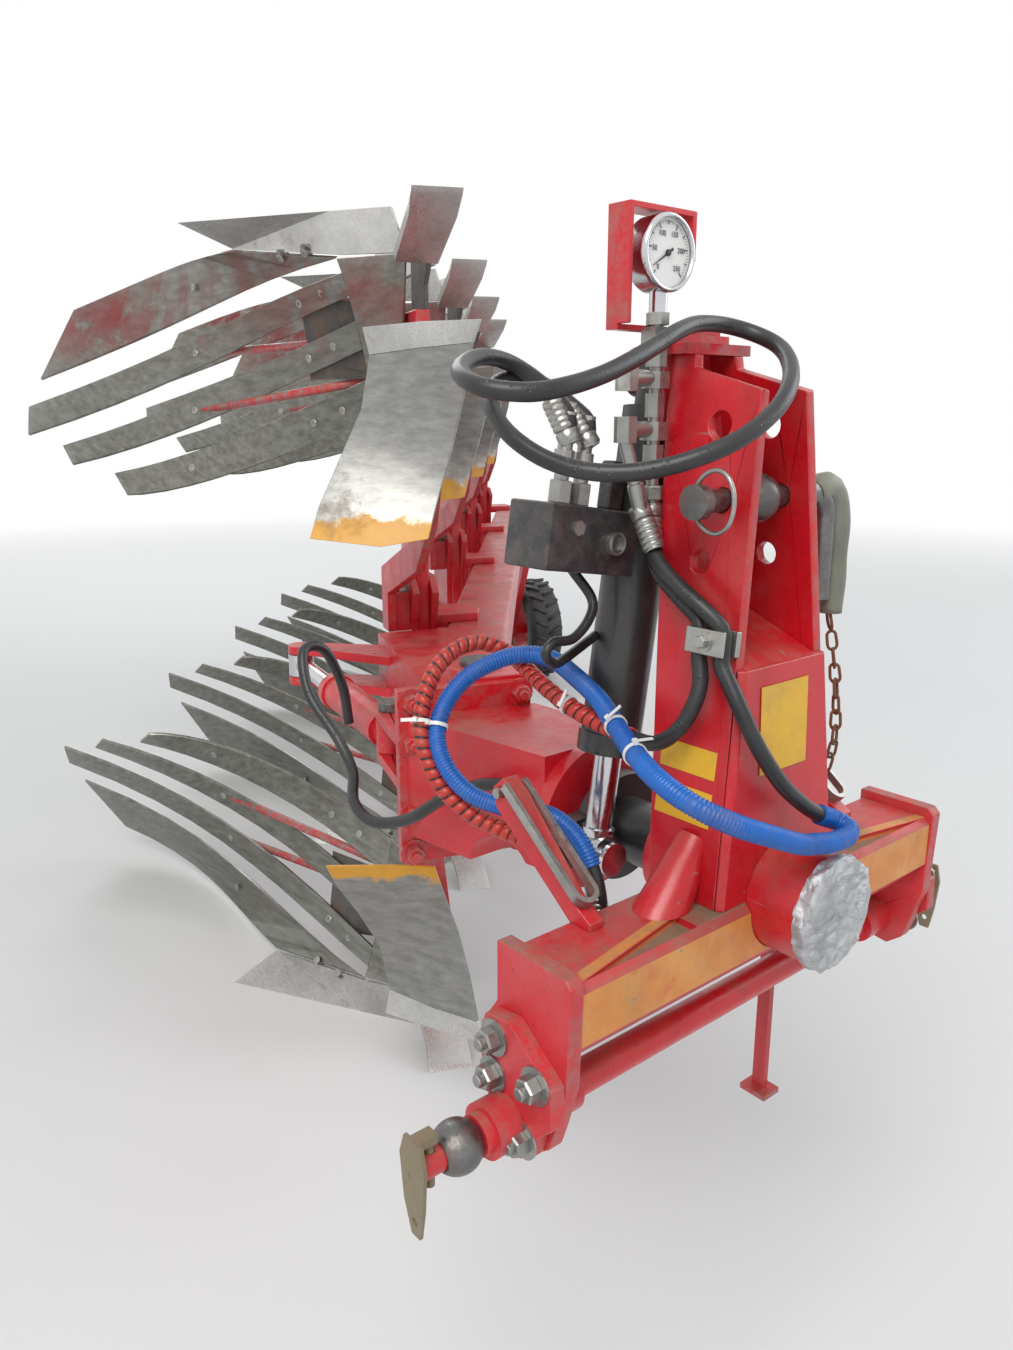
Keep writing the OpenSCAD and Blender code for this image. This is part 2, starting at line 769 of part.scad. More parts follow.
module skimmer_stems() {
    color(red) each_leg() for (set = [0, 1]) mirror([0, 0, set]) {
        plate_x(stem_u, stem_u + stem_t, [for (p = stem_outline) [p[0], -p[1]]]);
        translate([stem_u + stem_t, -72, -150]) cube([-leg_t / 2 - 16 - stem_u - stem_t, 48, 90]);
    }
}

// skimmer board: rings from its share up to its rolled top edge
skim_net = [
    [[-76, -262, 300], [-150, -190, 306], [-222, -104, 315]],
    [[-84, -232, 390], [-160, -160, 400], [-236, -84, 410]],
    [[-100, -214, 480], [-190, -150, 490], [-282, -92, 500]],
    [[-128, -214, 570], [-224, -176, 580], [-330, -124, 585]],
    [[-150, -224, 640], [-236, -212, 652], [-352, -146, 640]]];
function skim_back(r) = unit(cross(r[2] - r[0], [0, 0, 1])) * skim_t;
function skim_ring(r) = let (n = skim_back(r)) [r[1], r[0], r[0] + n, r[1] + n, r[2] + n, r[2]];

module skimmer_boards() {
    color(grey) each_body() loft([for (r = skim_net) skim_ring(r)]);
}

skim_edge = [[-66, -280, 262], [-148, -204, 262], [-236, -118, 268]];

module skimmer_shares() {
    color(steel) each_body() loft([skim_ring(skim_edge),
        skim_ring([for (p = skim_net[0]) p - [0, 0, fit]])]);
}

wheel_at = beam_len - 60;
arm_len = 350;
arm_drop = axis_z - wheel_d / 2;
arm_x = main_side / 2 + 40;

// places children at the wheel arm's pivot beside the beam's rear end
module at_wheel_pivot() {
    at_beam() translate([0, wheel_at, 0]) rotate([0, 0, row_angle]) children();
}

module wheel_bracket() {
    color(red) difference() {
        at_wheel_pivot() {
            along_x(0, arm_x + 46, 40);
            along_x(0, arm_x - 6, 110);
            along_x(arm_x + 40, arm_x + 46, 60);
        }
        beam_room(main_side, 20);
        at_beam() translate([-400, -100, -300]) cube([400, beam_len + 200, 600]);
    }
}

module wheel_arm() {
    color(red) at_wheel_pivot() difference() {
        union() {
            along_x(arm_x, arm_x + 36, 110);
            plate_x(arm_x, arm_x + 36, [[-46, 0], [46, 0], [arm_len + 32, -arm_drop], [arm_len - 32, -arm_drop]]);
            translate([0, arm_len, -arm_drop]) along_x(arm_x, arm_x + 50 + wheel_w, 50);
            translate([0, arm_len, -arm_drop]) along_x(arm_x, arm_x + 42, 90);
        }
        along_x(0, arm_x + 100, 40 + 2 * fit);
    }
}

module wheel() {
    color(black) at_wheel_pivot() translate([arm_x + 46, arm_len, -arm_drop]) difference() {
        rotate([0, 90, 0]) rotate_extrude() polygon([[50 / 2 + fit, 0], [70, 0], [70, 50], [wheel_d / 2 - 90, 50],
            [wheel_d / 2 - 80, 10], [wheel_d / 2 - 30, 0], [wheel_d / 2, 30], [wheel_d / 2, wheel_w - 30],
            [wheel_d / 2 - 30, wheel_w], [wheel_d / 2 - 80, wheel_w - 10], [wheel_d / 2 - 90, 100],
            [70, 100], [70, wheel_w - 60], [50 / 2 + fit, wheel_w - 60]]);
    }
}

module hoses() {
}

translate([-mid_x, -mid_y, 0]) {
    crossbeam();
    end_plates();
    pin_flanges();
    cross_bar();
    link_pins();
    link_balls();
    linch_flags();
    mast_box();
    mast_plates();
    mast_feet();
    mast_lid();
    top_pin();
    housing();
    shaft_cap();
    pivot_plate();
    gauge_bracket();
    gauge();
    gauge_fittings();
    hose_clamp();
    latch_arms();
    latch_bails();
    stand_socket();
    stand_leg();
    turn_barrel();
    valve_block();
    turn_rod();
    turn_shaft();
    console();
    hinge_plate();
    swing_pins();
    swing_barrel();
    swing_rod();
    frame_arm();
    main_beam();
    leg_brackets();
    legs();
    frogs();
    slats_upper();
    slats_lower();
    shins();
    shares();
    points();
    landsides();
    skimmer_stems();
    skimmer_boards();
    skimmer_shares();
    wheel_bracket();
    wheel_arm();
    wheel();
}
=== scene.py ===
"""Looks of a mounted reversible plough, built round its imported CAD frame."""

import math

import bmesh
import bpy
from mathutils import Matrix, Vector, noise

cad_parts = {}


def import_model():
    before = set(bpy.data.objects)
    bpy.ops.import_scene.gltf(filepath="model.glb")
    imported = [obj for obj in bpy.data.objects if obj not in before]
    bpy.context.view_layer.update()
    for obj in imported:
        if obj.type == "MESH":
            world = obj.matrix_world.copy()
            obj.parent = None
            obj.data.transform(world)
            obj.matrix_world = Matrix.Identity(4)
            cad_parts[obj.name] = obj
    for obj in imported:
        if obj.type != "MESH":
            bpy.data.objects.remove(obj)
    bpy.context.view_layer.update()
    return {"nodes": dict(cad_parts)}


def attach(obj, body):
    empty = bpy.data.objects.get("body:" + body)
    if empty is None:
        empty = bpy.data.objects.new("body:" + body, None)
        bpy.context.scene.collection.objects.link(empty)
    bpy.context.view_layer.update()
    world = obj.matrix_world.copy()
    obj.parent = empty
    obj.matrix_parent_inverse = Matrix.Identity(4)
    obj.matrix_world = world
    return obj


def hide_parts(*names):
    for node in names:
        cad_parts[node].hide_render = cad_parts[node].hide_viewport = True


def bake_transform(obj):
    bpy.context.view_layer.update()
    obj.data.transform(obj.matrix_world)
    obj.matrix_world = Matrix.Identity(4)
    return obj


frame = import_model()
nodes = frame["nodes"]

# ---------------------------------------------------------------- places, in millimetres of the source
MID = Vector((1291, 2339, 0))
BALL_Z = 800
AXIS_Z = 965
YAW = math.radians(20)
ROW = math.radians(21.5)
SWING = Vector((55, 576, AXIS_Z))
TIP = Vector((132, 472, -965))
STEP = Vector((945 * math.sin(ROW), 945 * math.cos(ROW), 0))
LEG = Vector((92, 772, 0))


def world(p):
    """Source millimetres to metres of the row frame."""
    return (Vector(p) - MID) / 1000


def links(x, y, z):
    """A point given from the lower link line."""
    return world((x, y, BALL_Z + z))


def turned(x, y, angle):
    """x and y turned clockwise by angle, as seen from above."""
    c, s = math.cos(angle), math.sin(angle)
    return x * c + y * s, -x * s + y * c


def in_frame(u, w, h):
    """A point in the frame's own directions round the swing pin."""
    x, y = turned(u, w, YAW)
    return world((SWING.x + x, SWING.y + y, AXIS_Z + h))


def in_body(i, upper, u, w, h):
    """A point of body i, from its share tip, of the upper or the lower set."""
    p = TIP + i * STEP + Vector((u, w, h))
    return in_frame(p.x, p.y, -p.z if upper else p.z)


def in_leg(i, upper, u, w, z):
    """A point from the axis beside leg i, with z away from the axis."""
    p = LEG + i * STEP + Vector((u, w, 0))
    return in_frame(p.x, p.y, z if upper else -z)


# ---------------------------------------------------------------- camera
cam_data = bpy.data.cameras.new("view")
camera = bpy.data.objects.new("view", cam_data)
bpy.context.scene.collection.objects.link(camera)
camera.location = links(-952, -698, 713)
camera.rotation_euler = (math.radians(90 - 14.5), 0, math.radians(-39.8))
cam_data.sensor_width = 36
cam_data.lens = 36 * 1014 / 1350
cam_data.clip_start, cam_data.clip_end = 0.02, 200
bpy.context.scene.camera = camera


# ---------------------------------------------------------------- materials
class Mat:
    """A node material with short names for the nodes that the finishes use."""

    def __init__(self, name, colour=(0.5, 0.5, 0.5), rough=0.5, metal=0.0, coat=0.0):
        self.mat = bpy.data.materials.new(name)
        self.mat.use_nodes = True
        self.tree = self.mat.node_tree
        self.tree.nodes.clear()
        out = self.tree.nodes.new("ShaderNodeOutputMaterial")
        self.bsdf = self.tree.nodes.new("ShaderNodeBsdfPrincipled")
        self.tree.links.new(self.bsdf.outputs[0], out.inputs[0])
        self.place = self.tree.nodes.new("ShaderNodeTexCoord").outputs["Object"]
        self.geometry = self.tree.nodes.new("ShaderNodeNewGeometry")
        self.bsdf.inputs["Base Color"].default_value = (*colour, 1)
        self.bsdf.inputs["Roughness"].default_value = rough
        self.bsdf.inputs["Metallic"].default_value = metal
        self.bsdf.inputs["Coat Weight"].default_value = coat
        self.bsdf.inputs["Coat Roughness"].default_value = 0.25

    def put(self, socket, value):
        if isinstance(value, bpy.types.NodeSocket):
            self.tree.links.new(value, socket)
        elif isinstance(value, (tuple, list)):
            socket.default_value = (*value, 1)[: len(socket.default_value)]
        else:
            socket.default_value = value

    def set(self, name, value):
        self.put(self.bsdf.inputs[name], value)

    def coords(self, stretch=(1, 1, 1), turn=0.0, origin=(0, 0, 0)):
        node = self.tree.nodes.new("ShaderNodeMapping")
        self.put(node.inputs["Vector"], self.place)
        node.inputs["Scale"].default_value = stretch
        node.inputs["Rotation"].default_value = (0, 0, turn)
        node.inputs["Location"].default_value = origin
        return node.outputs[0]

    def noise(self, scale, detail=4.0, rough=0.6, stretch=None, turn=0.0, warp=0.0):
        node = self.tree.nodes.new("ShaderNodeTexNoise")
        self.put(node.inputs["Vector"], self.coords(stretch, turn) if stretch else self.place)
        node.inputs["Scale"].default_value = scale
        node.inputs["Detail"].default_value = detail
        node.inputs["Roughness"].default_value = rough
        node.inputs["Distortion"].default_value = warp
        return node.outputs["Fac"]

    def cells(self, scale, feature="F1", stretch=(1, 1, 1)):
        node = self.tree.nodes.new("ShaderNodeTexVoronoi")
        node.feature = feature
        self.put(node.inputs["Vector"], self.coords(stretch))
        node.inputs["Scale"].default_value = scale
        return node.outputs["Distance"]

    def ramp(self, value, *stops):
        node = self.tree.nodes.new("ShaderNodeValToRGB")
        self.put(node.inputs["Fac"], value)
        ends = node.color_ramp.elements
        while len(ends) < len(stops):
            ends.new(0.5)
        for end, (at, c) in zip(ends, stops):
            end.position = at
            end.color = (*c, 1) if isinstance(c, tuple) else (c, c, c, 1)
        return node.outputs["Color"]

    def mix(self, fac, a, b, mode="MIX"):
        node = self.tree.nodes.new("ShaderNodeMix")
        node.data_type = "RGBA"
        node.blend_type = mode
        self.put(node.inputs["Factor"], fac)
        self.put(node.inputs[6], (a, a, a) if isinstance(a, float) else a)
        self.put(node.inputs[7], (b, b, b) if isinstance(b, float) else b)
        return node.outputs[2]

    def math(self, what, a, b=0.0, clamp=True):
        node = self.tree.nodes.new("ShaderNodeMath")
        node.operation = what
        node.use_clamp = clamp
        self.put(node.inputs[0], a)
        self.put(node.inputs[1], b)
        return node.outputs[0]

    def axis(self, vector, which):
        node = self.tree.nodes.new("ShaderNodeSeparateXYZ")
        self.put(node.inputs[0], vector)
        return node.outputs[which]

    def span(self, value, a, b, to=(0.0, 1.0)):
        """Value from a to b as 0 to 1, held at both ends."""
        node = self.tree.nodes.new("ShaderNodeMapRange")
        node.clamp = True
        self.put(node.inputs["Value"], value)
        for name, x in zip(("From Min", "From Max", "To Min", "To Max"), (a, b, *to)):
            node.inputs[name].default_value = x
        return node.outputs[0]

    def edges(self, low=0.52, high=0.6):
        return self.ramp(self.geometry.outputs["Pointiness"], (low, 0.0), (high, 1.0))

    def upward(self, low=0.2, high=0.9):
        return self.ramp(self.axis(self.geometry.outputs["Normal"], 2), (low, 0.0), (high, 1.0))

    def bump(self, height, strength=0.3, distance=0.001):
        node = self.tree.nodes.new("ShaderNodeBump")
        node.inputs["Strength"].default_value = strength
        node.inputs["Distance"].default_value = distance
        self.put(node.inputs["Height"], height)
        if self.bsdf.inputs["Normal"].links:
            self.put(node.inputs["Normal"], self.bsdf.inputs["Normal"].links[0].from_socket)
        self.put(self.bsdf.inputs["Normal"], node.outputs[0])


SOIL = (0.14, 0.088, 0.05)
DRY_SOIL = (0.3, 0.21, 0.135)
RUST = (0.16, 0.052, 0.022)
BARE = (0.32, 0.31, 0.3)


def painted(name, base, faded, dark, dirt=0.5, chips=0.6, gloss=0.3, under=RUST, patch=None, mud=None):
    """Old enamel: uneven fade, run marks, chipped edges, soil that lies on what faces up."""
    m = Mat(name, rough=gloss, coat=0.18)
    fade = m.ramp(m.noise(3.1, 6), (0.36, 0.0), (0.66, 1.0))
    colour = m.mix(fade, base, faded)
    runs = m.ramp(m.noise(11, 5, stretch=(1, 1, 0.12)), (0.52, 0.0), (0.74, 0.55))
    colour = m.mix(runs, colour, dark)
    specks = m.ramp(m.noise(170, 3, 0.7), (0.62, 0.0), (0.68, 0.6))
    colour = m.mix(specks, colour, dark)
    if patch:
        colour = patch(m, colour)
    worn = m.math("MULTIPLY", m.edges(), m.ramp(m.noise(38, 6, 0.75), (0.42, 0.0), (0.6, chips)))
    scratch = m.ramp(m.noise(26, 3, 0.8, stretch=(1, 0.06, 1.4), turn=0.5), (0.685, 0.0), (0.7, chips))
    bare = m.math("MAXIMUM", worn, scratch)
    colour = m.mix(bare, colour, m.mix(m.noise(90, 4), under, BARE))
    lie = m.math("MULTIPLY", m.upward(), m.ramp(m.noise(8, 7, 0.72), (0.42, 0.0), (0.68, dirt)))
    film = m.ramp(m.noise(5, 8, 0.75, stretch=(1, 1, 0.5)), (0.5, 0.0), (0.82, dirt * 0.7))
    soil = m.math("MAXIMUM", lie, film)
    if mud:
        soil = m.math("MAXIMUM", soil, mud(m))
    colour = m.mix(soil, colour, m.mix(m.noise(40, 5), SOIL, DRY_SOIL))
    m.set("Base Color", colour)
    m.set("Roughness", m.math("ADD", m.math("MULTIPLY", soil, 0.5), m.span(m.noise(22, 4), 0.3, 0.75, (gloss - 0.08, gloss + 0.16))))
    m.bump(m.noise(240, 2), 0.05, 0.0006)
    m.bump(m.math("ADD", soil, m.math("MULTIPLY", bare, -0.6, clamp=False), clamp=False), 0.35, 0.0012)
    return m.mat


def steel(name, light, dark, rust, rusty=0.4, dirt=0.3, rough=0.35, metal=0.85, grain=(1, 1, 1), turn=0.0):
    """Bare steel with rolled or ground grain, rust blooms and dried soil."""
    m = Mat(name, metal=metal)
    colour = m.mix(m.ramp(m.noise(7, 6, 0.65), (0.3, 0.0), (0.7, 1.0)), dark, light)
    lines = m.noise(90, 3, 0.6, stretch=grain, turn=turn)
    colour = m.mix(m.ramp(lines, (0.35, 0.35), (0.65, 0.0)), colour, dark)
    bloom = m.ramp(m.noise(13, 8, 0.78, warp=0.6), (0.62 - rusty * 0.4, 0.0), (0.82 - rusty * 0.4, 0.9))
    colour = m.mix(bloom, colour, m.mix(m.noise(70, 5), rust, RUST))
    soil = m.ramp(m.noise(6, 9, 0.76), (0.7 - dirt * 0.35, 0.0), (0.92 - dirt * 0.35, 0.85))
    colour = m.mix(soil, colour, m.mix(m.noise(50, 4), SOIL, DRY_SOIL))
    m.set("Base Color", colour)
    cover = m.math("MAXIMUM", bloom, soil)
    m.set("Roughness", m.math("ADD", m.math("MULTIPLY", cover, 0.4), m.span(lines, 0.3, 0.7, (rough - 0.08, rough + 0.12))))
    m.set("Metallic", m.span(cover, 0.0, 0.8, (metal, 0.05)))
    m.bump(lines, 0.12, 0.0005)
    m.bump(m.noise(120, 5, 0.7), 0.2, 0.0008)
    m.bump(cover, 0.3, 0.0012)
    return m.mat


RED = painted("red_enamel", (0.54, 0.006, 0.014), (0.6, 0.012, 0.024), (0.22, 0.005, 0.01))
RED_SOILED = painted("red_enamel_soiled", (0.5, 0.008, 0.018), (0.6, 0.03, 0.04), (0.2, 0.006, 0.01), dirt=0.95, chips=0.9, gloss=0.42)


def beam_places(m):
    """Distance from the middle, place fore and aft and height of a point of the crossbeam, in metres from the links."""
    x = m.math("ABSOLUTE", m.math("ADD", m.axis(m.place, 0), MID.x / 1000, clamp=False), clamp=False)
    y = m.math("ADD", m.axis(m.place, 1), MID.y / 1000, clamp=False)
    return x, y, m.math("SUBTRACT", m.axis(m.place, 2), BALL_Z / 1000, clamp=False)


def beam_orange(m, colour):
    """Worn orange on the crossbeam's front face, and along the diagonal behind its hollow."""
    x, y, z = beam_places(m)
    normal = m.geometry.outputs["Normal"]
    front = m.math("MULTIPLY", m.span(m.axis(normal, 1), -0.8, -0.92), m.span(z, 0.1, 0.104))
    front = m.math("MULTIPLY", front, m.span(z, 0.168, 0.163))
    line = m.math("ADD", m.math("MULTIPLY", x, -0.1813, clamp=False), -0.0028, clamp=False)
    behind = m.math("SUBTRACT", y, line, clamp=False)
    strip = m.math("MULTIPLY", m.span(behind, 0.0, 0.002), m.span(behind, 0.015, 0.013))
    strip = m.math("MULTIPLY", strip, m.span(z, 0.166, 0.169))
    worn = m.ramp(m.noise(16, 7, 0.72), (0.3, 0.55), (0.42, 1.0))
    paint = m.mix(m.ramp(m.noise(20, 6), (0.35, 0.0), (0.7, 1.0)), (0.6, 0.2, 0.022), (0.68, 0.3, 0.07))
    return m.mix(m.math("MULTIPLY", m.math("MAXIMUM", front, strip), worn), colour, paint)


def beam_mud(m):
    """Soil that lies in the crossbeam's hollow and against the housing."""
    x, y, z = beam_places(m)
    up = m.span(m.axis(m.geometry.outputs["Normal"], 2), 0.6, 0.85)
    hollow = m.math("MULTIPLY", up, m.span(z, 0.168, 0.164))
    near = m.math("MULTIPLY", up, m.span(x, 0.2, 0.12))
    return m.math("MULTIPLY", m.math("MAXIMUM", hollow, near), m.ramp(m.noise(24, 6, 0.7), (0.25, 0.75), (0.5, 1.0)))


CROSSBEAM = painted("crossbeam_paint", (0.5, 0.008, 0.018), (0.6, 0.03, 0.04), (0.2, 0.006, 0.01), dirt=0.95,
                    chips=0.9, gloss=0.42, patch=beam_orange, mud=beam_mud)
BLACK = painted("black_enamel", (0.012, 0.012, 0.014), (0.03, 0.03, 0.033), (0.006, 0.006, 0.006), dirt=0.35, chips=0.35, gloss=0.34)
ZINC = steel("zinc_hardware", (0.48, 0.47, 0.44), (0.26, 0.26, 0.25), (0.2, 0.12, 0.07), 0.12, 0.2, 0.34)
CHROME = steel("chrome", (0.74, 0.75, 0.77), (0.5, 0.51, 0.53), (0.3, 0.2, 0.14), 0.0, 0.06, 0.14, 1.0)
GREASED = steel("greased_steel", (0.3, 0.3, 0.29), (0.1, 0.1, 0.1), (0.13, 0.07, 0.04), 0.25, 0.15, 0.3)
CAST = steel("cast_steel", (0.16, 0.15, 0.14), (0.06, 0.058, 0.055), (0.2, 0.09, 0.05), 0.3, 0.5, 0.55, 0.6)


def mouldboard(name, grain_turn):
    """Soil-polished slats: scoured streaks along them, dried mud, rust in what was not scoured."""
    m = Mat(name, metal=0.9)
    streak = m.noise(16, 6, 0.7, stretch=(4.5, 0.35, 3.2), turn=grain_turn)
    colour = m.mix(m.ramp(streak, (0.34, 0.0), (0.68, 1.0)), (0.135, 0.133, 0.115), (0.26, 0.258, 0.232))
    bloom = m.ramp(m.noise(9, 8, 0.76, stretch=(1.5, 0.6, 1.5), turn=grain_turn), (0.56, 0.0), (0.8, 0.55))
    colour = m.mix(bloom, colour, m.mix(m.noise(60, 5), (0.17, 0.085, 0.05), (0.09, 0.05, 0.032)))
    high = m.axis(m.place, 2)
    paint = m.math("MULTIPLY", m.span(high, 1.62, 1.78), m.ramp(m.noise(7, 7, 0.7), (0.42, 0.0), (0.52, 0.9)))
    front = m.math("MULTIPLY", paint, m.span(m.noise(2.2, 3), 0.35, 0.6))
    colour = m.mix(front, colour, m.mix(m.noise(30, 4), (0.26, 0.02, 0.022), (0.14, 0.018, 0.016)))
    mud = m.ramp(m.noise(3.6, 9, 0.74), (0.6, 0.0), (0.8, 0.6))
    colour = m.mix(mud, colour, m.mix(m.noise(45, 5), (0.17, 0.125, 0.085), (0.27, 0.215, 0.16)))
    m.set("Base Color", m.mix(m.math("MULTIPLY", m.edges(0.54, 0.64), 0.7), colour, (0.62, 0.61, 0.58)))
    cover = m.math("MAXIMUM", m.math("MAXIMUM", mud, bloom), front)
    m.set("Metallic", m.span(cover, 0.1, 0.8, (0.85, 0.05)))
    m.set("Roughness", m.span(cover, 0.0, 0.9, (0.34, 0.78)))
    m.bump(streak, 0.15, 0.0006)
    m.bump(m.noise(110, 5, 0.7), 0.25, 0.0008)
    m.bump(mud, 0.4, 0.0018)
    return m.mat


SLAT = mouldboard("scoured_slats", -0.72)


def skimmer(name):
    """Skimmer boards: grey scoured steel, the factory's yellow left along the edge near the beam."""
    m = Mat(name, metal=0.8)
    streak = m.noise(18, 6, 0.7, stretch=(1.2, 1.2, 4))
    colour = m.mix(m.ramp(streak, (0.34, 0.0), (0.68, 1.0)), (0.22, 0.219, 0.208), (0.34, 0.337, 0.322))
    away = m.math("ABSOLUTE", m.math("SUBTRACT", m.axis(m.place, 2), AXIS_Z / 1000, clamp=False), clamp=False)
    ragged = m.math("ADD", away, m.math("MULTIPLY", m.noise(14, 6, 0.7), 0.12, clamp=False), clamp=False)
    yellow = m.span(ragged, 0.425, 0.41)
    colour = m.mix(yellow, colour, m.mix(m.noise(35, 5), (0.72, 0.36, 0.012), (0.55, 0.24, 0.01)))
    mud = m.ramp(m.noise(4.4, 9, 0.72), (0.54, 0.0), (0.72, 0.85))
    colour = m.mix(mud, colour, m.mix(m.noise(55, 5), SOIL, DRY_SOIL))
    m.set("Base Color", colour)
    m.set("Metallic", m.math("SUBTRACT", 0.8, m.math("MAXIMUM", mud, yellow)))
    m.set("Roughness", m.span(mud, 0.0, 0.9, (0.36, 0.8)))
    m.bump(streak, 0.12, 0.0006)
    m.bump(m.noise(120, 5, 0.7), 0.2, 0.0008)
    m.bump(mud, 0.45, 0.0018)
    return m.mat


SKIMMER = skimmer("skimmer_steel")
SHARE = steel("share_steel", (0.66, 0.65, 0.63), (0.4, 0.395, 0.38), (0.24, 0.13, 0.08), 0.1, 0.32, 0.3, grain=(5, 0.4, 2), turn=-0.72)


def rubber(name, base=(0.012, 0.012, 0.013), wet=True):
    m = Mat(name, rough=0.42)
    colour = m.mix(m.ramp(m.noise(12, 6), (0.35, 0.0), (0.7, 1.0)), base, tuple(2.6 * c for c in base))
    dust = m.ramp(m.noise(9, 7, 0.75), (0.52, 0.0), (0.8, 0.35))
    colour = m.mix(dust, colour, (0.1, 0.09, 0.075))
    m.set("Base Color", colour)
    if wet:
        drops = m.ramp(m.cells(190), (0.12, 1.0), (0.3, 0.0))
        some = m.math("MULTIPLY", drops, m.ramp(m.noise(20, 3), (0.5, 0.0), (0.56, 1.0)))
        m.set("Roughness", m.span(some, 0.0, 1.0, (0.4, 0.08)))
        m.bump(some, 0.5, 0.0012)
    else:
        m.set("Roughness", m.span(dust, 0.0, 0.4, (0.5, 0.75)))
    m.bump(m.noise(260, 3), 0.12, 0.0005)
    return m.mat


HOSE = rubber("hose_rubber")
TYRE = rubber("tyre_rubber", (0.016, 0.016, 0.016), wet=False)


def plastic(name, base, dark, rough=0.38, dirt=0.3):
    m = Mat(name, rough=rough, coat=0.1)
    colour = m.mix(m.ramp(m.noise(9, 5), (0.35, 0.0), (0.7, 1.0)), base, dark)
    film = m.ramp(m.noise(16, 7, 0.75), (0.5, 0.0), (0.78, dirt))
    colour = m.mix(film, colour, DRY_SOIL)
    m.set("Base Color", colour)
    m.set("Roughness", m.span(film, 0.0, dirt, (rough, rough + 0.25)))
    m.bump(m.noise(180, 3), 0.1, 0.0006)
    return m.mat


BLUE = plastic("blue_sleeve", (0.004, 0.13, 0.5), (0.003, 0.07, 0.32))
RED_WRAP = plastic("red_spiral", (0.55, 0.035, 0.02), (0.36, 0.02, 0.014), 0.42)
YELLOW = plastic("yellow_plate", (0.76, 0.44, 0.02), (0.66, 0.36, 0.015), 0.42, 0.55)
DIAL = plastic("dial_white", (0.78, 0.78, 0.76), (0.7, 0.7, 0.68), 0.4, 0.06)
MARKS = plastic("dial_marks", (0.01, 0.01, 0.01), (0.016, 0.016, 0.016), 0.5, 0.02)
SLEEVE = plastic("handle_sleeve_green", (0.2, 0.215, 0.17), (0.12, 0.13, 0.1), 0.5, 0.5)
RUSTY = steel("rusty_chain", (0.2, 0.15, 0.12), (0.08, 0.06, 0.05), (0.22, 0.09, 0.04), 0.8, 0.3, 0.6, 0.6)
KHAKI = painted("khaki_flag", (0.17, 0.14, 0.08), (0.24, 0.19, 0.11), (0.08, 0.06, 0.03), dirt=0.9, chips=0.8, gloss=0.5)


def soil_heap(name):
    m = Mat(name, rough=0.92)
    colour = m.mix(m.ramp(m.noise(30, 8, 0.75), (0.35, 0.0), (0.65, 1.0)), (0.06, 0.038, 0.024), (0.16, 0.105, 0.065))
    m.set("Base Color", m.mix(m.ramp(m.noise(140, 5, 0.8), (0.6, 0.0), (0.68, 0.8)), colour, (0.26, 0.2, 0.13)))
    m.bump(m.noise(160, 7, 0.8), 0.8, 0.003)
    return m.mat


EARTH = soil_heap("soil")


def foil(name):
    """Silver cloth tape, wrapped and creased, with painted shade darkening its crease lines."""
    m = Mat(name, metal=0.55)
    weave = m.noise(420, 2)
    colour = m.mix(m.ramp(m.noise(20, 6, 0.7), (0.35, 0.0), (0.7, 1.0)), (0.36, 0.37, 0.39), (0.62, 0.63, 0.65))
    crease_lines_and_shade = m.ramp(m.cells(20, "DISTANCE_TO_EDGE", (1, 1, 2.4)), (0.0, 0.45), (0.03, 0.0))
    # Painted shade: the crease lines are darkened in the colour where shade would fall; the same lines also drive the
    # crease bump below.
    colour = m.mix(crease_lines_and_shade, colour, (0.2, 0.2, 0.21))
    dirt = m.ramp(m.noise(11, 7, 0.75), (0.52, 0.0), (0.75, 0.6))
    m.set("Base Color", m.mix(dirt, colour, (0.2, 0.15, 0.1)))
    m.set("Roughness", m.span(m.noise(30, 4), 0.3, 0.7, (0.26, 0.5)))
    m.bump(weave, 0.1, 0.0005)
    m.bump(m.noise(60, 6, 0.75, warp=1.5), 0.6, 0.003)
    m.bump(crease_lines_and_shade, 0.5, 0.001)
    return m.mat


FOIL = foil("silver_tape")


def glass(name):
    m = Mat(name, (1, 1, 1), rough=0.03)
    m.bsdf.inputs["Transmission Weight"].default_value = 1.0
    m.bsdf.inputs["IOR"].default_value = 1.45
    m.bump(m.noise(40, 2), 0.02, 0.0005)
    return m.mat


GLASS = glass("gauge_glass")

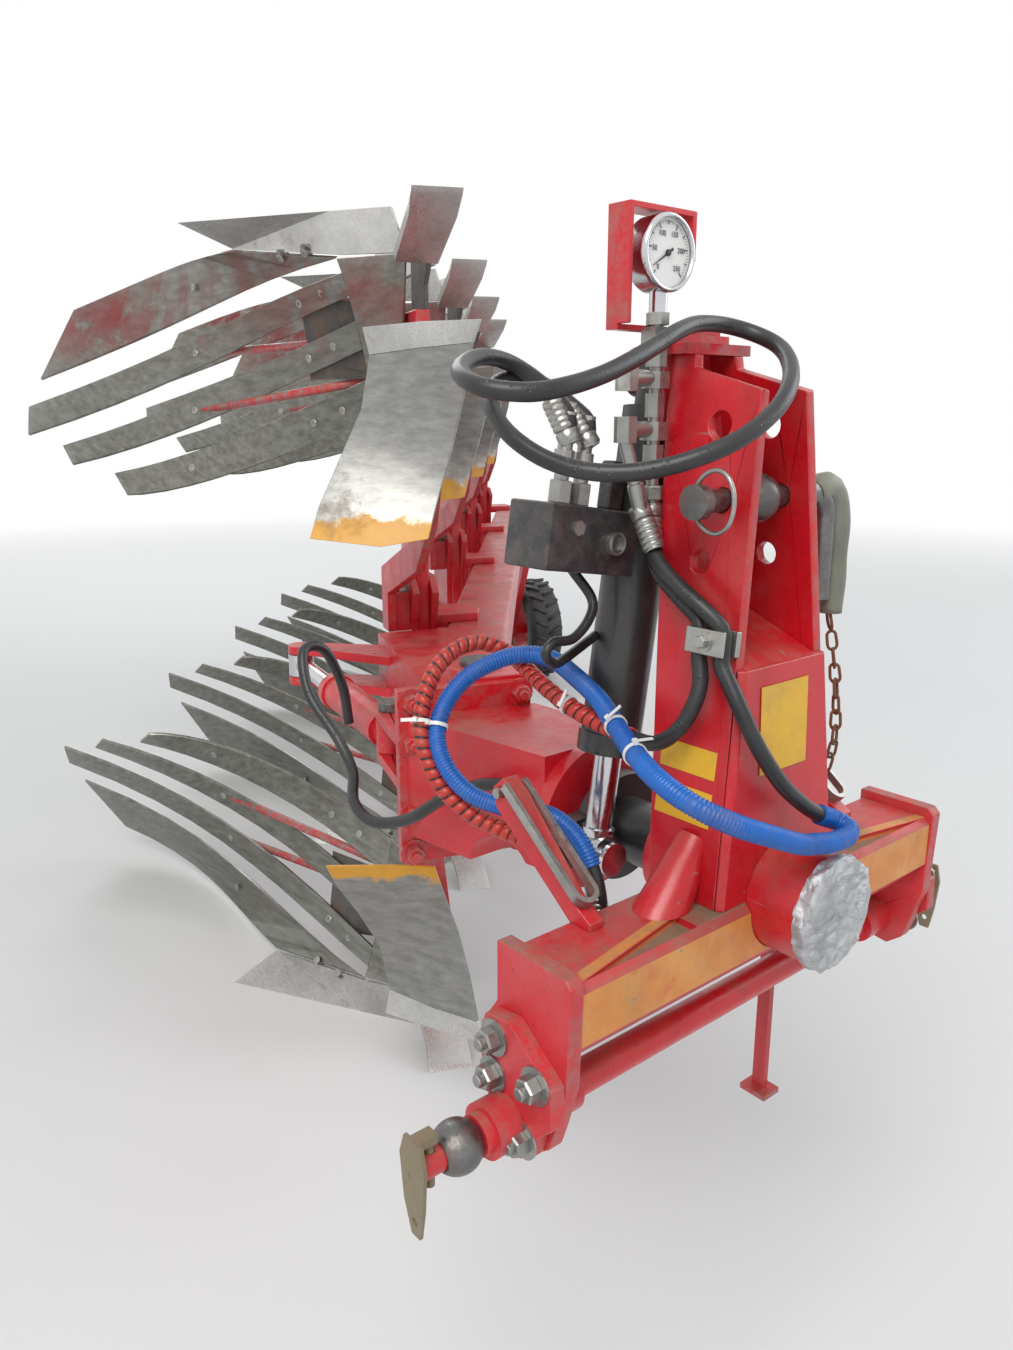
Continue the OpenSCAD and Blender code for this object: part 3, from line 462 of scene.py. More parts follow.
FINISH = {
    "crossbeam": (CROSSBEAM, 3), "end_plates": (RED_SOILED, 2), "pin_flanges": (RED_SOILED, 2), "cross_bar": (RED, 1),
    "link_pins": (RED_SOILED, 1.5), "link_balls": (GREASED, 0.8), "linch_flags": (KHAKI, 1), "mast_box": (RED, 3),
    "mast_plates": (RED, 2), "mast_feet": (RED, 2), "mast_lid": (RED, 1.5), "top_pin": (GREASED, 1), "housing": (RED, 2),
    "shaft_cap": (FOIL, 1), "pivot_plate": (RED, 1.5), "gauge_bracket": (RED, 1), "gauge": (CHROME, 1),
    "gauge_fittings": (ZINC, 1), "hose_clamp": (ZINC, 1), "latch_arms": (RED, 2), "latch_bails": (ZINC, 1.5),
    "stand_socket": (RED, 1.5), "stand_leg": (RED_SOILED, 1.5), "turn_barrel": (BLACK, 2), "valve_block": (BLACK, 3),
    "turn_rod": (CHROME, 1), "turn_shaft": (BLACK, 2), "console": (RED, 4), "hinge_plate": (RED, 3),
    "swing_pins": (GREASED, 2), "swing_barrel": (RED, 2), "swing_rod": (CHROME, 1), "frame_arm": (RED, 3),
    "main_beam": (RED, 8), "leg_brackets": (RED, 3), "legs": (RED, 4), "frogs": (CAST, 3), "slats_upper": (SLAT, 1.5),
    "slats_lower": (SLAT, 1.5), "shins": (SLAT, 1.5), "shares": (SHARE, 1), "points": (SHARE, 1), "landsides": (SHARE, 1.5),
    "skimmer_stems": (RED_SOILED, 2.5), "skimmer_boards": (SKIMMER, 1.2), "skimmer_shares": (SHARE, 1),
    "wheel_bracket": (RED, 2), "wheel_arm": (RED, 3), "wheel": (TYRE, 2),
}


def rounded(obj, bevel):
    """Rounds the sharp edges by bevel millimetres, and shades the faces flat between them."""
    weld = obj.modifiers.new("weld", "WELD")
    weld.merge_threshold = 0.00003
    edge = obj.modifiers.new("bevel", "BEVEL")
    edge.width = bevel / 1000
    edge.segments = 2
    edge.limit_method = "ANGLE"
    edge.angle_limit = math.radians(28)
    edge.use_clamp_overlap = True
    obj.modifiers.new("normals", "WEIGHTED_NORMAL").keep_sharp = False
    obj.data.shade_smooth()


for node, (finish, bevel) in FINISH.items():
    o = nodes[node]
    o.data.materials.clear()
    o.data.materials.append(finish)
    rounded(o, bevel)


# ---------------------------------------------------------------- mesh helpers
def piece(name, bm, mat, body, smooth=True):
    mesh = bpy.data.meshes.new(name)
    bm.normal_update()
    bm.to_mesh(mesh)
    bm.free()
    obj = bpy.data.objects.new(name, mesh)
    bpy.context.scene.collection.objects.link(obj)
    for one in mat if isinstance(mat, (list, tuple)) else [mat]:
        mesh.materials.append(one)
    if smooth:
        mesh.shade_smooth()
    if body:
        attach(obj, body)
    return obj


def frame_at(at, axis, spin=0.0):
    """Matrix that puts local Z along axis at a point."""
    z = Vector(axis).normalized()
    return Matrix.Translation(at) @ z.to_track_quat("Z", "Y").to_matrix().to_4x4() @ Matrix.Rotation(spin, 4, "Z")


def add_lathe(bm, at, axis, profile, sides=24, spin=0.0, mat=0):
    """Turned solid: profile is a list of (radius, height) in metres, from the base up."""
    m = frame_at(at, axis, spin)
    rings = []
    for r, h in profile:
        if r < 1e-6:
            rings.append([bm.verts.new(m @ Vector((0, 0, h)))])
        else:
            rings.append([bm.verts.new(m @ Vector((r * math.cos(2 * math.pi * k / sides), r * math.sin(2 * math.pi * k / sides), h))) for k in range(sides)])
    for a, b in zip(rings, rings[1:]):
        for k in range(sides):
            n = (k + 1) % sides
            if len(a) == 1 and len(b) > 1:
                f = bm.faces.new((a[0], b[k], b[n]))
            elif len(b) == 1 and len(a) > 1:
                f = bm.faces.new((a[k], a[n], b[0]))
            else:
                f = bm.faces.new((a[k], a[n], b[n], b[k]))
            f.material_index = mat
    return rings


def add_bolt(bm, at, axis, size=0.024, washer=True, spin=0.3, proud=0.35):
    """Hexagon head with its chamfer and washer, seated at a point of a face."""
    r = size / 2 / math.cos(math.pi / 6)
    base = 0.0
    if washer:
        add_lathe(bm, at, axis, [(0, 0), (size * 0.85, 0), (size * 0.85, size * 0.11), (size * 0.5, size * 0.12)], 20)
        base = size * 0.11
    h = size * 0.62
    add_lathe(bm, at, axis, [(r * 0.97, base), (r, base + 0.0006), (r, base + h * 0.86), (r * 0.88, base + h), (0, base + h * 1.01)], 6, spin)
    if proud > 0:
        add_lathe(bm, at, axis, [(size * 0.3, base + h * 0.98), (size * 0.3, base + h * (1 + proud)), (size * 0.25, base + h * (1.08 + proud)), (0, base + h * (1.08 + proud))], 14)


def bolts(name, places, mat, body, size=0.024, **more):
    bm = bmesh.new()
    for k, (at, axis) in enumerate(places):
        add_bolt(bm, at, axis, size, spin=0.3 + 0.7 * k, **more)
    return piece(name, bm, mat, body, smooth=False)


def smooth_path(points, gap):
    """A smooth line through points, with a point about every gap metres."""
    pts = [Vector(p) for p in points]
    ext = [2 * pts[0] - pts[1], *pts, 2 * pts[-1] - pts[-2]]
    out = []
    for a, b, c, d in zip(ext, ext[1:], ext[2:], ext[3:]):
        n = max(2, int((c - b).length / gap))
        for k in range(n):
            t = k / n
            out.append(0.5 * (2 * b + (c - a) * t + (2 * a - 5 * b + 4 * c - d) * t * t + (3 * b - a - 3 * c + d) * t ** 3))
    out.append(pts[-1])
    return out


def add_tube(bm, path, radius, sides=12, mat=0, closed_ends=True):
    """Tube along a path. radius is one number, or a function of the point's count and its distance along."""
    rings = []
    up = Vector((0, 0, 1))
    run = 0.0
    for k, p in enumerate(path):
        t = (path[min(k + 1, len(path) - 1)] - path[max(k - 1, 0)]).normalized()
        side = t.cross(up)
        if side.length < 1e-3:
            side = t.cross(Vector((1, 0, 0)))
        side.normalize()
        up = side.cross(t).normalized()
        if k:
            run += (p - path[k - 1]).length
        r = radius(k, run) if callable(radius) else radius
        rings.append([bm.verts.new(p + r * (math.cos(a) * side + math.sin(a) * up)) for a in (2 * math.pi * j / sides for j in range(sides))])
    for a, b in zip(rings, rings[1:]):
        for j in range(sides):
            n = (j + 1) % sides
            bm.faces.new((a[j], b[j], b[n], a[n])).material_index = mat
    if closed_ends:
        bm.faces.new(rings[0]).material_index = mat
        bm.faces.new(list(reversed(rings[-1]))).material_index = mat
    return rings


# ---------------------------------------------------------------- hoses
BIG_HOSE = [(-165.8, 142, 690.3), (-163, 142, 708), (-172, 158, 732), (-192, 172, 752), (-223, 176, 766), (-268, 160, 769),
            (-317, 128, 760), (-352, 88, 747), (-358, 46, 735), (-330, 16, 731), (-290, 8, 737), (-242, 12, 748),
            (-192, 22, 763), (-142, 35, 780), (-92, 50, 797), (-44, 64, 807), (2, 66, 808), (30, 48, 800), (32, 16, 786),
            (8, -18, 768), (-28, -48, 746), (-66, -66, 724), (-103, -72, 704), (-140, -70, 687), (-172, -58, 674),
            (-200, -36, 663), (-224, -8, 657), (-248, 24, 658), (-268, 60, 668), (-279, 98, 688), (-274, 136, 712),
            (-252, 168, 734), (-222, 184, 747), (-188, 186, 750), (-160, 178, 740), (-144, 160, 722), (-133, 142, 703),
            (-136.1, 142, 685.8)]
FRONT_HOSE = [(-100, 86, 600), (-96.5, 84, 584), (-98, 72, 565), (-104, 48, 545), (-106, 18, 526), (-103, -8, 510),
              (-95, -29, 490), (-94.2, -32, 473), (-97, -33, 452), (-97, -46, 430), (-95, -62, 403), (-84, -78, 365),
              (-56, -90, 322), (-20, -96, 290), (10, -99, 271), (32, -106, 261), (37, -119, 255), (22, -129, 252),
              (-12, -131, 254), (-38, -131, 260), (-70, -131, 268),
              (-120, -131, 290), (-180, -126, 318), (-215, -100, 340), (-212, -50, 352), (-180, 15, 358), (-150, 70, 368),
              (-125, 125, 384), (-116, 175, 400), (-112, 215, 411), (-120, 250, 414), (-148, 276, 408), (-190, 296, 386),
              (-224, 300, 352), (-244, 288, 318), (-246, 264, 284), (-232, 234, 256), (-206, 200, 243), (-186, 165, 243),
              (-180, 128, 240), (-176, 96, 222), (-175, 74, 190), (-175, 64, 160), (-175, 64, 140.3)]
REAR_HOSE = [(-73, 98, 600), (-73, 98, 584), (-80, 90, 562), (-88, 68, 538), (-90, 42, 518), (-90, 18, 502), (-92, 4, 492),
             (-94.2, 0, 473), (-97, -2, 452), (-100, -8, 430), (-108, -8, 405), (-120, 2, 375), (-126, 30, 352),
             (-126, 70, 350), (-128, 125, 356), (-130, 170, 366), (-126, 215, 378), (-118, 262, 392), (-122, 292, 408),
             (-145, 316, 422), (-180, 326, 418), (-214, 326, 398), (-240, 318, 366), (-256, 306, 330), (-258, 290, 294),
             (-250, 268, 258), (-232, 240, 230), (-208, 208, 212), (-196, 170, 206), (-199, 135, 200), (-202, 104, 188),
             (-204, 76, 168), (-204, 64, 140.3)]
FRAME_HOSE = [(-57, 817, 176), (-70, 814, 250), (-104, 812, 318), (-146, 806, 322), (-161, 765, 258), (-146, 705, 193),
              (-150, 655, 150), (-182, 600, 122), (-186, 540, 109), (-168, 470, 131), (-150, 400, 182), (-134, 340, 214),
              (-117, 300, 221)]
HOSE_D = 0.018


def nearest(path, p):
    return min(range(len(path)), key=lambda k: (path[k] - p).length)


def hose(name, points, body, diameter=HOSE_D):
    path = smooth_path([links(*p) for p in points], 0.008)
    bm = bmesh.new()
    add_tube(bm, path, diameter / 2, 16)
    return piece(name, bm, HOSE, body), path


def corrugated(name, path, mat, body, radius, pitch, depth, sides=20):
    """Ribbed protective sleeve along a path."""
    dense = [path[0]]
    for a, b in zip(path, path[1:]):
        n = max(1, round((b - a).length / (pitch / 4)))
        dense += [a.lerp(b, k / n) for k in range(1, n + 1)]
    bm = bmesh.new()
    add_tube(bm, dense, lambda k, at: radius + depth * 0.5 * math.cos(2 * math.pi * at / pitch), sides)
    return piece(name, bm, mat, body)


def spiral(name, path, mat, body, radius, pitch, width, thick):
    """Flat strip wound round a hose in a helix."""
    dense = []
    for a, b in zip(path, path[1:]):
        n = max(1, round((b - a).length / 0.0015))
        dense += [a.lerp(b, k / n) for k in range(n)]
    dense.append(path[-1])
    bm = bmesh.new()
    up, run, rings = Vector((0, 0, 1)), 0.0, []
    for k, p in enumerate(dense):
        t = (dense[min(k + 1, len(dense) - 1)] - dense[max(k - 1, 0)]).normalized()
        side = t.cross(up)
        if side.length < 1e-3:
            side = t.cross(Vector((1, 0, 0)))
        side.normalize()
        up = side.cross(t).normalized()
        if k:
            run += (p - dense[k - 1]).length
        a = 2 * math.pi * run / pitch
        d = math.cos(a) * side + math.sin(a) * up
        section = ((radius, -1), (radius + thick, -0.86), (radius + thick, 0.86), (radius, 1))
        rings.append([bm.verts.new(p + d * r + t * width * s / 2) for r, s in section])
    for a, b in zip(rings, rings[1:]):
        for j in range(4):
            n = (j + 1) % 4
            bm.faces.new((a[j], b[j], b[n], a[n]))
    bm.faces.new(rings[0])
    bm.faces.new(list(reversed(rings[-1])))
    return piece(name, bm, mat, body)


def box(bm, m, size, mat=0):
    corners = [(x, y, z) for x in (-1, 1) for y in (-1, 1) for z in (-1, 1)]
    v = [bm.verts.new(m @ Vector([c * s / 2 for c, s in zip(p, size)])) for p in corners]
    for f in ((0, 1, 3, 2), (4, 6, 7, 5), (0, 4, 5, 1), (2, 3, 7, 6), (0, 2, 6, 4), (1, 5, 7, 3)):
        bm.faces.new([v[i] for i in f]).material_index = mat


def zip_tie(bm, path, k, radius, spin=0.0):
    """Nylon tie round a hose at point k of its path, with its lock and tail."""
    at, axis = path[k], path[k + 1] - path[k - 1]
    band = [(radius, 0), (radius + 0.0014, 0), (radius + 0.0014, 0.0048), (radius, 0.0048)]
    add_lathe(bm, at - axis.normalized() * 0.0024, axis, band, 20, spin)
    m = frame_at(at, axis, spin)
    box(bm, m @ Matrix.Translation((radius + 0.003, 0, 0)), (0.006, 0.0055, 0.006))
    box(bm, m @ Matrix.Translation((radius + 0.004, 0.011, 0)), (0.0012, 0.018, 0.0045))


def crimp(bm, path, at_end=False):
    """Crimped ferrule and swivel nut on one end of a hose."""
    p, q = (path[-1], path[-7]) if at_end else (path[0], path[6])
    axis = (q - p).normalized()
    r = HOSE_D / 2
    profile = [(r + 0.0005, 0.004)]
    for k in range(5):
        z = 0.006 + k * 0.0068
        profile += [(r + 0.0035, z), (r + 0.0035, z + 0.0045), (r + 0.0026, z + 0.0052), (r + 0.0026, z + 0.0064)]
    profile += [(r + 0.003, 0.0395), (r + 0.0004, 0.042)]
    add_lathe(bm, p, axis, profile, 22)
    nut = [(0, 0), (0.0125, 0), (0.0138, 0.0015), (0.0138, 0.0145), (0.0125, 0.016), (0, 0.016)]
    add_lathe(bm, p - axis * 0.012, axis, nut, 6, 0.4)


def finish_hose(name, path, body):
    bm = bmesh.new()
    crimp(bm, path)
    crimp(bm, path, True)
    ends = piece(name + "_ends", bm, ZINC, body)


big, big_path = hose("big_hose", BIG_HOSE, "turn_barrel")
front, front_path = hose("front_hose", FRONT_HOSE, "headstock")
rear, rear_path = hose("rear_hose", REAR_HOSE, "headstock")

blue_from = nearest(front_path, links(10, -99, 271))
blue = corrugated("blue_sleeve", front_path[blue_from:-6], BLUE, "headstock", 0.0112, 0.0042, 0.0016)
red_from = nearest(rear_path, links(-126, 70, 350))
red = spiral("red_spiral", rear_path[red_from:-6], RED_WRAP, "headstock", 0.0094, 0.0135, 0.0115, 0.0016)
bm = bmesh.new()
for at, spin in ((links(-150, 70, 368), 0.8), (links(-240, 294, 330), 2.2), (links(-186, 10, 356), 1.5)):
    zip_tie(bm, front_path, nearest(front_path, at), 0.0122, spin)
blue_ties = piece("blue_ties", bm, DIAL, "headstock", smooth=False)
bm = bmesh.new()
for at, spin in ((links(-130, 170, 366), 0.3), (links(-252, 308, 340), 1.9)):
    zip_tie(bm, rear_path, nearest(rear_path, at), 0.0112, spin)
red_ties = piece("red_ties", bm, DIAL, "headstock", smooth=False)

finish_hose("big_hose", big_path, "turn_barrel")
finish_hose("front_hose", front_path, "headstock")
finish_hose("rear_hose", rear_path, "headstock")
frame_hose, frame_path = hose("frame_hose", FRAME_HOSE, None)
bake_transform(frame_hose)

# ---------------------------------------------------------------- valve block, ports and clamp
BARREL_TILT = math.radians(8.587)


def in_barrel(x, y, z):
    """A point from the turnover cylinder's top pin, with z up along the barrel."""
    c, s = math.cos(BARREL_TILT), math.sin(BARREL_TILT)
    return links(x * c + z * s, 158 + y, 761 - x * s + z * c)


def solid_box(bm, place, low, high, mat=0):
    """Box between two corners given in the millimetres of place."""
    v = [bm.verts.new(place(x, y, z)) for x in (low[0], high[0]) for y in (low[1], high[1]) for z in (low[2], high[2])]
    for f in ((0, 1, 3, 2), (4, 6, 7, 5), (0, 4, 5, 1), (2, 3, 7, 6), (0, 2, 6, 4), (1, 5, 7, 3)):
        bm.faces.new([v[i] for i in f]).material_index = mat


def bevelled(obj, width, segments=2):
    edge = obj.modifiers.new("bevel", "BEVEL")
    edge.width = width
    edge.segments = segments
    edge.limit_method = "ANGLE"
    edge.angle_limit = math.radians(35)
    obj.modifiers.new("normals", "WEIGHTED_NORMAL").keep_sharp = False


bm = bmesh.new()
solid_box(bm, in_barrel, (-180, -36, -245), (-38.3, 36, -170))
solid_box(bm, in_barrel, (-68.3, -10, -170), (-44, 10, -113))
block = piece("valve_body", bm, BLACK, "turn_barrel")
bevelled(block, 0.003)
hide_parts("valve_block")

barrel_up = in_barrel(0, 0, 1) - in_barrel(0, 0, 0)
barrel_front = in_barrel(0, -1, 0) - in_barrel(0, 0, 0)
bm = bmesh.new()
for x in (-153.3, -123.3):
    union = [(0, 0), (0.0135, 0), (0.0139, 0.001), (0.0139, 0.024), (0.0125, 0.025), (0, 0.025)]
    add_lathe(bm, in_barrel(x, -16, -170), barrel_up, union, 6, 0.3)
    stem = [(0.0085, 0), (0.0085, 0.02), (0.0115, 0.021), (0.0115, 0.034), (0.0085, 0.035), (0.0085, 0.075), (0, 0.0755)]
    add_lathe(bm, in_barrel(x, -16, -146), barrel_up, stem, 20)
plug = [(0, 0), (0.0135, 0), (0.0135, 0.007), (0.0105, 0.008), (0.0105, 0.003), (0, 0.003)]
add_lathe(bm, in_barrel(-78, -36, -208), barrel_front, plug, 24)
add_lathe(bm, in_barrel(-140, -36, -195), barrel_front, [(0, 0), (0.009, 0), (0.009, 0.006), (0, 0.006)], 6, 0.2)
piece("valve_unions", bm, ZINC, "turn_barrel", smooth=False)

bm = bmesh.new()
for low, high, axis in (((-73, 98, 600.3), (-73, 98, 633), None), ((-100, 86, 600), (-119, 98, 684), None)):
    a, b = links(*low), links(*high)
    run = (b - a).length
    add_lathe(bm, a, b - a, [(0, 0), (0.0095, 0), (0.0095, run * 0.42), (0.0078, run * 0.44), (0.0078, run), (0, run)], 20)
    nut = [(0, 0), (0.0125, 0), (0.0135, 0.0014), (0.0135, 0.0146), (0.0125, 0.016), (0, 0.016)]
    add_lathe(bm, a.lerp(b, 0.5), b - a, nut, 6, 0.5)
piece("hose_unions", bm, ZINC, "headstock", smooth=False)

MAST_LEAN = math.radians(6.5)


def on_left_plate(out, y, z):
    """A point out from the left mast plate's outer face, at height z over the links."""
    up = (z - 171) / math.cos(MAST_LEAN)
    x = 111 + out * math.cos(MAST_LEAN) - up * math.sin(MAST_LEAN)
    return links(-x, y, 171 + out * math.sin(MAST_LEAN) + up * math.cos(MAST_LEAN))


bm = bmesh.new()
solid_box(bm, on_left_plate, (0.2, -42, 457), (8, 10, 485))
solid_box(bm, on_left_plate, (27, -42, 457), (31, 10, 485))
solid_box(bm, on_left_plate, (8, -21, 461), (27, -11, 481))
clamp = piece("hose_clamp_plates", bm, ZINC, "headstock")
bevelled(clamp, 0.0012)
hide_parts("hose_clamp")
left_out = on_left_plate(1, 0, 300) - on_left_plate(0, 0, 300)
bolts("clamp_bolt", [(on_left_plate(31, -16, 471), left_out)], ZINC, "headstock", 0.013, proud=0.0)

bm = bmesh.new()
solid_box(bm, links, (-222, 34, 90), (-158, 78, 122))
port = piece("port_block", bm, ZINC, "headstock")
bevelled(port, 0.0015)
bm = bmesh.new()
for x in (-204, -175):
    nut = [(0, 0), (0.0128, 0), (0.0139, 0.0012), (0.0139, 0.0168), (0.0125, 0.018), (0, 0.018)]
    add_lathe(bm, links(x, 64, 122), (0, 0, 1), nut, 6, 0.2)
piece("port_unions", bm, ZINC, "headstock", smooth=False)

thin = [in_barrel(-95, 10, -244), links(-114, 150, 500), links(-125, 142, 478), links(-153, 140, 458),
        links(-184, 140, 458), links(-196, 140, 446), links(-184, 142, 434), links(-160, 152, 430),
        in_barrel(-40, 10, -322)]
thin_path = smooth_path(thin, 0.006)
bm = bmesh.new()
add_tube(bm, thin_path, 0.006, 16)
piece("thin_hose", bm, HOSE, "turn_barrel")

# ---------------------------------------------------------------- silver tape over the shaft's front
bm = bmesh.new()
cap_sides, cap_rows = 72, 18
cap_at = links(0, 0, 165)
for row in range(cap_rows + 1):
    q = row / cap_rows
    for k in range(cap_sides):
        a = 2 * math.pi * k / cap_sides
        if q < 0.4:
            r, y = 0.0665, -0.124 - 0.0145 * q / 0.4
        else:
            r, y = 0.0665 * (1 - (q - 0.4) / 0.6) + 0.0005, -0.1385
        away = Vector((math.cos(a) * r, y, math.sin(a) * r))
        bent = away * 24 + 0.9 * noise.noise_vector(away * 17)
        fold = noise.voronoi(Vector((bent.x, bent.y, bent.z * 1.8)))[0]
        puff = 0.0046 * min(1.0, abs(fold[1] - fold[0]) * 2.2) + 0.0016 * noise.noise(away * 60)
        if q < 0.4:
            away += Vector((math.cos(a), 0, math.sin(a))) * (puff - 0.001)
        else:
            away.y -= puff
        away.y = max(away.y, -0.1436)
        bm.verts.new(cap_at + away)
bm.verts.ensure_lookup_table()
for row in range(cap_rows):
    for k in range(cap_sides):
        n = (k + 1) % cap_sides
        ring, above = row * cap_sides, (row + 1) * cap_sides
        bm.faces.new((bm.verts[ring + k], bm.verts[ring + n], bm.verts[above + n], bm.verts[above + k]))
bmesh.ops.recalc_face_normals(bm, faces=bm.faces)
tape = piece("silver_tape_cap", bm, FOIL, "headstock", smooth=False)
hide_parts("shaft_cap")

# ---------------------------------------------------------------- plain yellow plates
def front_cover(x, z):
    return links(x, -51.6 + (z - 171) * 0.0435 - 9.6, z)


def thin_plate(bm, corners, out, thick=0.0009):
    """Thin plate on a face: its corners lie on the face, and out points away from it."""
    out = Vector(out).normalized()
    low = [bm.verts.new(p + out * 0.0002) for p in corners]
    high = [bm.verts.new(p + out * thick) for p in corners]
    bm.faces.new(high)
    for k in range(len(low)):
        n = (k + 1) % len(low)
        bm.faces.new((low[k], low[n], high[n], high[k]))


bm = bmesh.new()
thin_plate(bm, [front_cover(x, z) for x, z in ((-47, 318), (40, 318), (40, 420), (-47, 420))], (0, -1, 0.0435))
for z_low, z_high in ((260, 300), (316, 348)):
    thin_plate(bm, [on_left_plate(0, y, z) for y, z in ((50, z_low), (-30, z_low), (-30, z_high), (50, z_high))], left_out)
bmesh.ops.recalc_face_normals(bm, faces=bm.faces)
piece("yellow_plates", bm, YELLOW, "headstock", smooth=False)

# ---------------------------------------------------------------- top pin's handle, chain and ring
bm = bmesh.new()
grip = smooth_path([links(*p) for p in ((112, 8, 621), (136, 8, 628), (156, 8, 616), (165, 8, 585), (166, 8, 520), (165, 8, 470))], 0.008)
add_tube(bm, grip, lambda k, at: 0.0165 + 0.0006 * math.sin(at * 90), 20)
piece("handle_sleeve", bm, SLEEVE, "headstock")
bm = bmesh.new()
chain_path = smooth_path([links(*p) for p in ((160, 6, 474), (172, 2, 420), (178, -4, 360), (176, -8, 300), (176, 0, 262))], 0.019)
for k, (a, b) in enumerate(zip(chain_path, chain_path[1:])):
    middle, along = (a + b) / 2, (b - a).normalized()
    m = frame_at(middle, along, math.pi / 2 * k + 0.3)
    loop = [m @ Vector((0.0062 * math.cos(t), 0, 0.0078 * math.sin(t) + math.copysign(0.0048, math.sin(t)))) for t in (2 * math.pi * j / 14 for j in range(14))]
    add_tube(bm, loop + [loop[0]], 0.002, 7, closed_ends=False)
piece("pin_chain", bm, RUSTY, "headstock")
bm = bmesh.new()
ring = [links(-97 - 1.5 * math.cos(2 * a), -12 + 27 * math.cos(a), 622 + 33 * math.sin(a)) for a in (2 * math.pi * j / 40 for j in range(41))]
add_tube(bm, ring, 0.0026, 10, closed_ends=False)
piece("wire_ring", bm, ZINC, "headstock")

# ---------------------------------------------------------------- gauge
def gauge_face():
    centre = links(-73, 88, 879)
    front = Vector((0, -1, 0))
    bm = bmesh.new()
    add_lathe(bm, centre + Vector((0, 0.002, 0)), front, [(0.0395, -0.02), (0.0402, 0.0), (0.0402, 0.006), (0.0385, 0.0085), (0.036, 0.0085), (0.0355, 0.004)], 64)
    piece("gauge_bezel", bm, CHROME, "headstock")
    bm = bmesh.new()
    add_lathe(bm, centre, front, [(0.0365, 0.0005), (0.0, 0.0006)], 64)
    piece("gauge_dial", bm, DIAL, "headstock")
    bm = bmesh.new()
    m = frame_at(centre, front)
    zero = math.radians(225)
    for k in range(51):
        a = zero - math.radians(270) * k / 50
        inner = 0.026 if k % 10 == 0 else 0.0285 if k % 5 == 0 else 0.0302
        half = 0.0006 if k % 5 == 0 else 0.0003
        d = Vector((math.cos(a), math.sin(a), 0))
        e = Vector((-d.y, d.x, 0)) * half
        bm.faces.new([bm.verts.new(centre + dial_turn(v)) for v in (d * inner - e, d * 0.0325 - e, d * 0.0325 + e, d * inner + e)])
    a = math.radians(212)
    d, e = Vector((math.cos(a), math.sin(a), 0)), Vector((-math.sin(a), math.cos(a), 0))
    bm.faces.new([bm.verts.new(centre + dial_turn(v, 0.0024)) for v in (-d * 0.009 - e * 0.0016, d * 0.028 - e * 0.0004, d * 0.028 + e * 0.0004, -d * 0.009 + e * 0.0016)])
    add_lathe(bm, centre, front, [(0.0034, 0.001), (0.0034, 0.0032), (0.0, 0.0034)], 20)
    piece("gauge_marks", bm, MARKS, "headstock", smooth=False)
    for k in range(6):
        a = zero - math.radians(270) * k / 5
        text = bpy.data.curves.new(f"gauge_number_{k}", "FONT")
        text.body = str(k * 50)
        text.size = 0.0078
        text.align_x, text.align_y = "CENTER", "CENTER"
        text.extrude = 0.0001
        o = bpy.data.objects.new(f"gauge_number_{k}", text)
        bpy.context.scene.collection.objects.link(o)
        o.location = centre + dial_turn(Vector((math.cos(a), math.sin(a), 0)) * 0.0212)
        o.rotation_euler = (math.radians(90), 0, 0)
        text.materials.append(MARKS)
        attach(o, "headstock")


def dial_turn(v, lift=0.0014):
    """A point of the dial's own plane, X right and Y up, to row directions."""
    return Vector((v.x, -lift, v.y))


gauge_face()

# ---------------------------------------------------------------- bolts
flange = []
for side in (-1, 1):
    for y, z in ((-46, 66), (18, 88), (-28, -8), (20, 44), (4, -20)):
        flange.append((links(side * 371, y, z), (side, 0, 0)))
bolts("flange_bolts", flange, ZINC, "headstock", 0.024)

plate = []
front = in_frame(0, -1, 0) - in_frame(0, 0, 0)
for u in (-145, 32):
    for h in (-126, -60, 55, 121):
        plate.append((in_frame(u, -94, h), front))
bolts("hinge_plate_bolts", plate, RED, "turnover", 0.026)

side_out = in_frame(-1, 0, 0) - in_frame(0, 0, 0)
for upper in (0, 1):
    heads = []
    for i in range(4):
        for w, z in ((-40, 85), (40, 85), (-40, 155), (40, 155)):
            heads.append((in_leg(i, upper, -31, w, z), side_out))
    bolts(f"leg_bolts_{'upper' if upper else 'lower'}", heads, ZINC, "frame", 0.032)


# ---------------------------------------------------------------- mouldboard bolts and stays
BOARD_NET = [[(-190, 325, 60), (-185, 250, 90), (-65, 405, 435)], [(-515, 515, 75), (-185, 925, 110), (-360, 930, 615)],
             [(-345, 1400, -65), (-540, 1165, 420), (-740, 885, 705)], [(-880, 1600, 150), (-1235, 1540, 650), (-695, 910, 580)]]
SLAT_BANDS = [(0, 0.24), (0.35, 0.49), (0.61, 0.73), (0.84, 0.97)]
SLAT_T = 9


def board(s, t):
    """Point of the mouldboard's surface at s along it and t across it, as the source has it."""
    q = 1 - s
    across = [(1 - t) ** 2 * Vector(r[0]) + 2 * t * (1 - t) * Vector(r[1]) + t * t * Vector(r[2]) for r in BOARD_NET]
    return q ** 3 * across[0] + 3 * q * q * s * across[1] + 3 * q * s * s * across[2] + s ** 3 * across[3]


def board_back(s, t):
    along = board(s + 0.01, t) - board(s - 0.01, t)
    return along.cross(board(s, t + 0.01) - board(s, t - 0.01)).normalized()


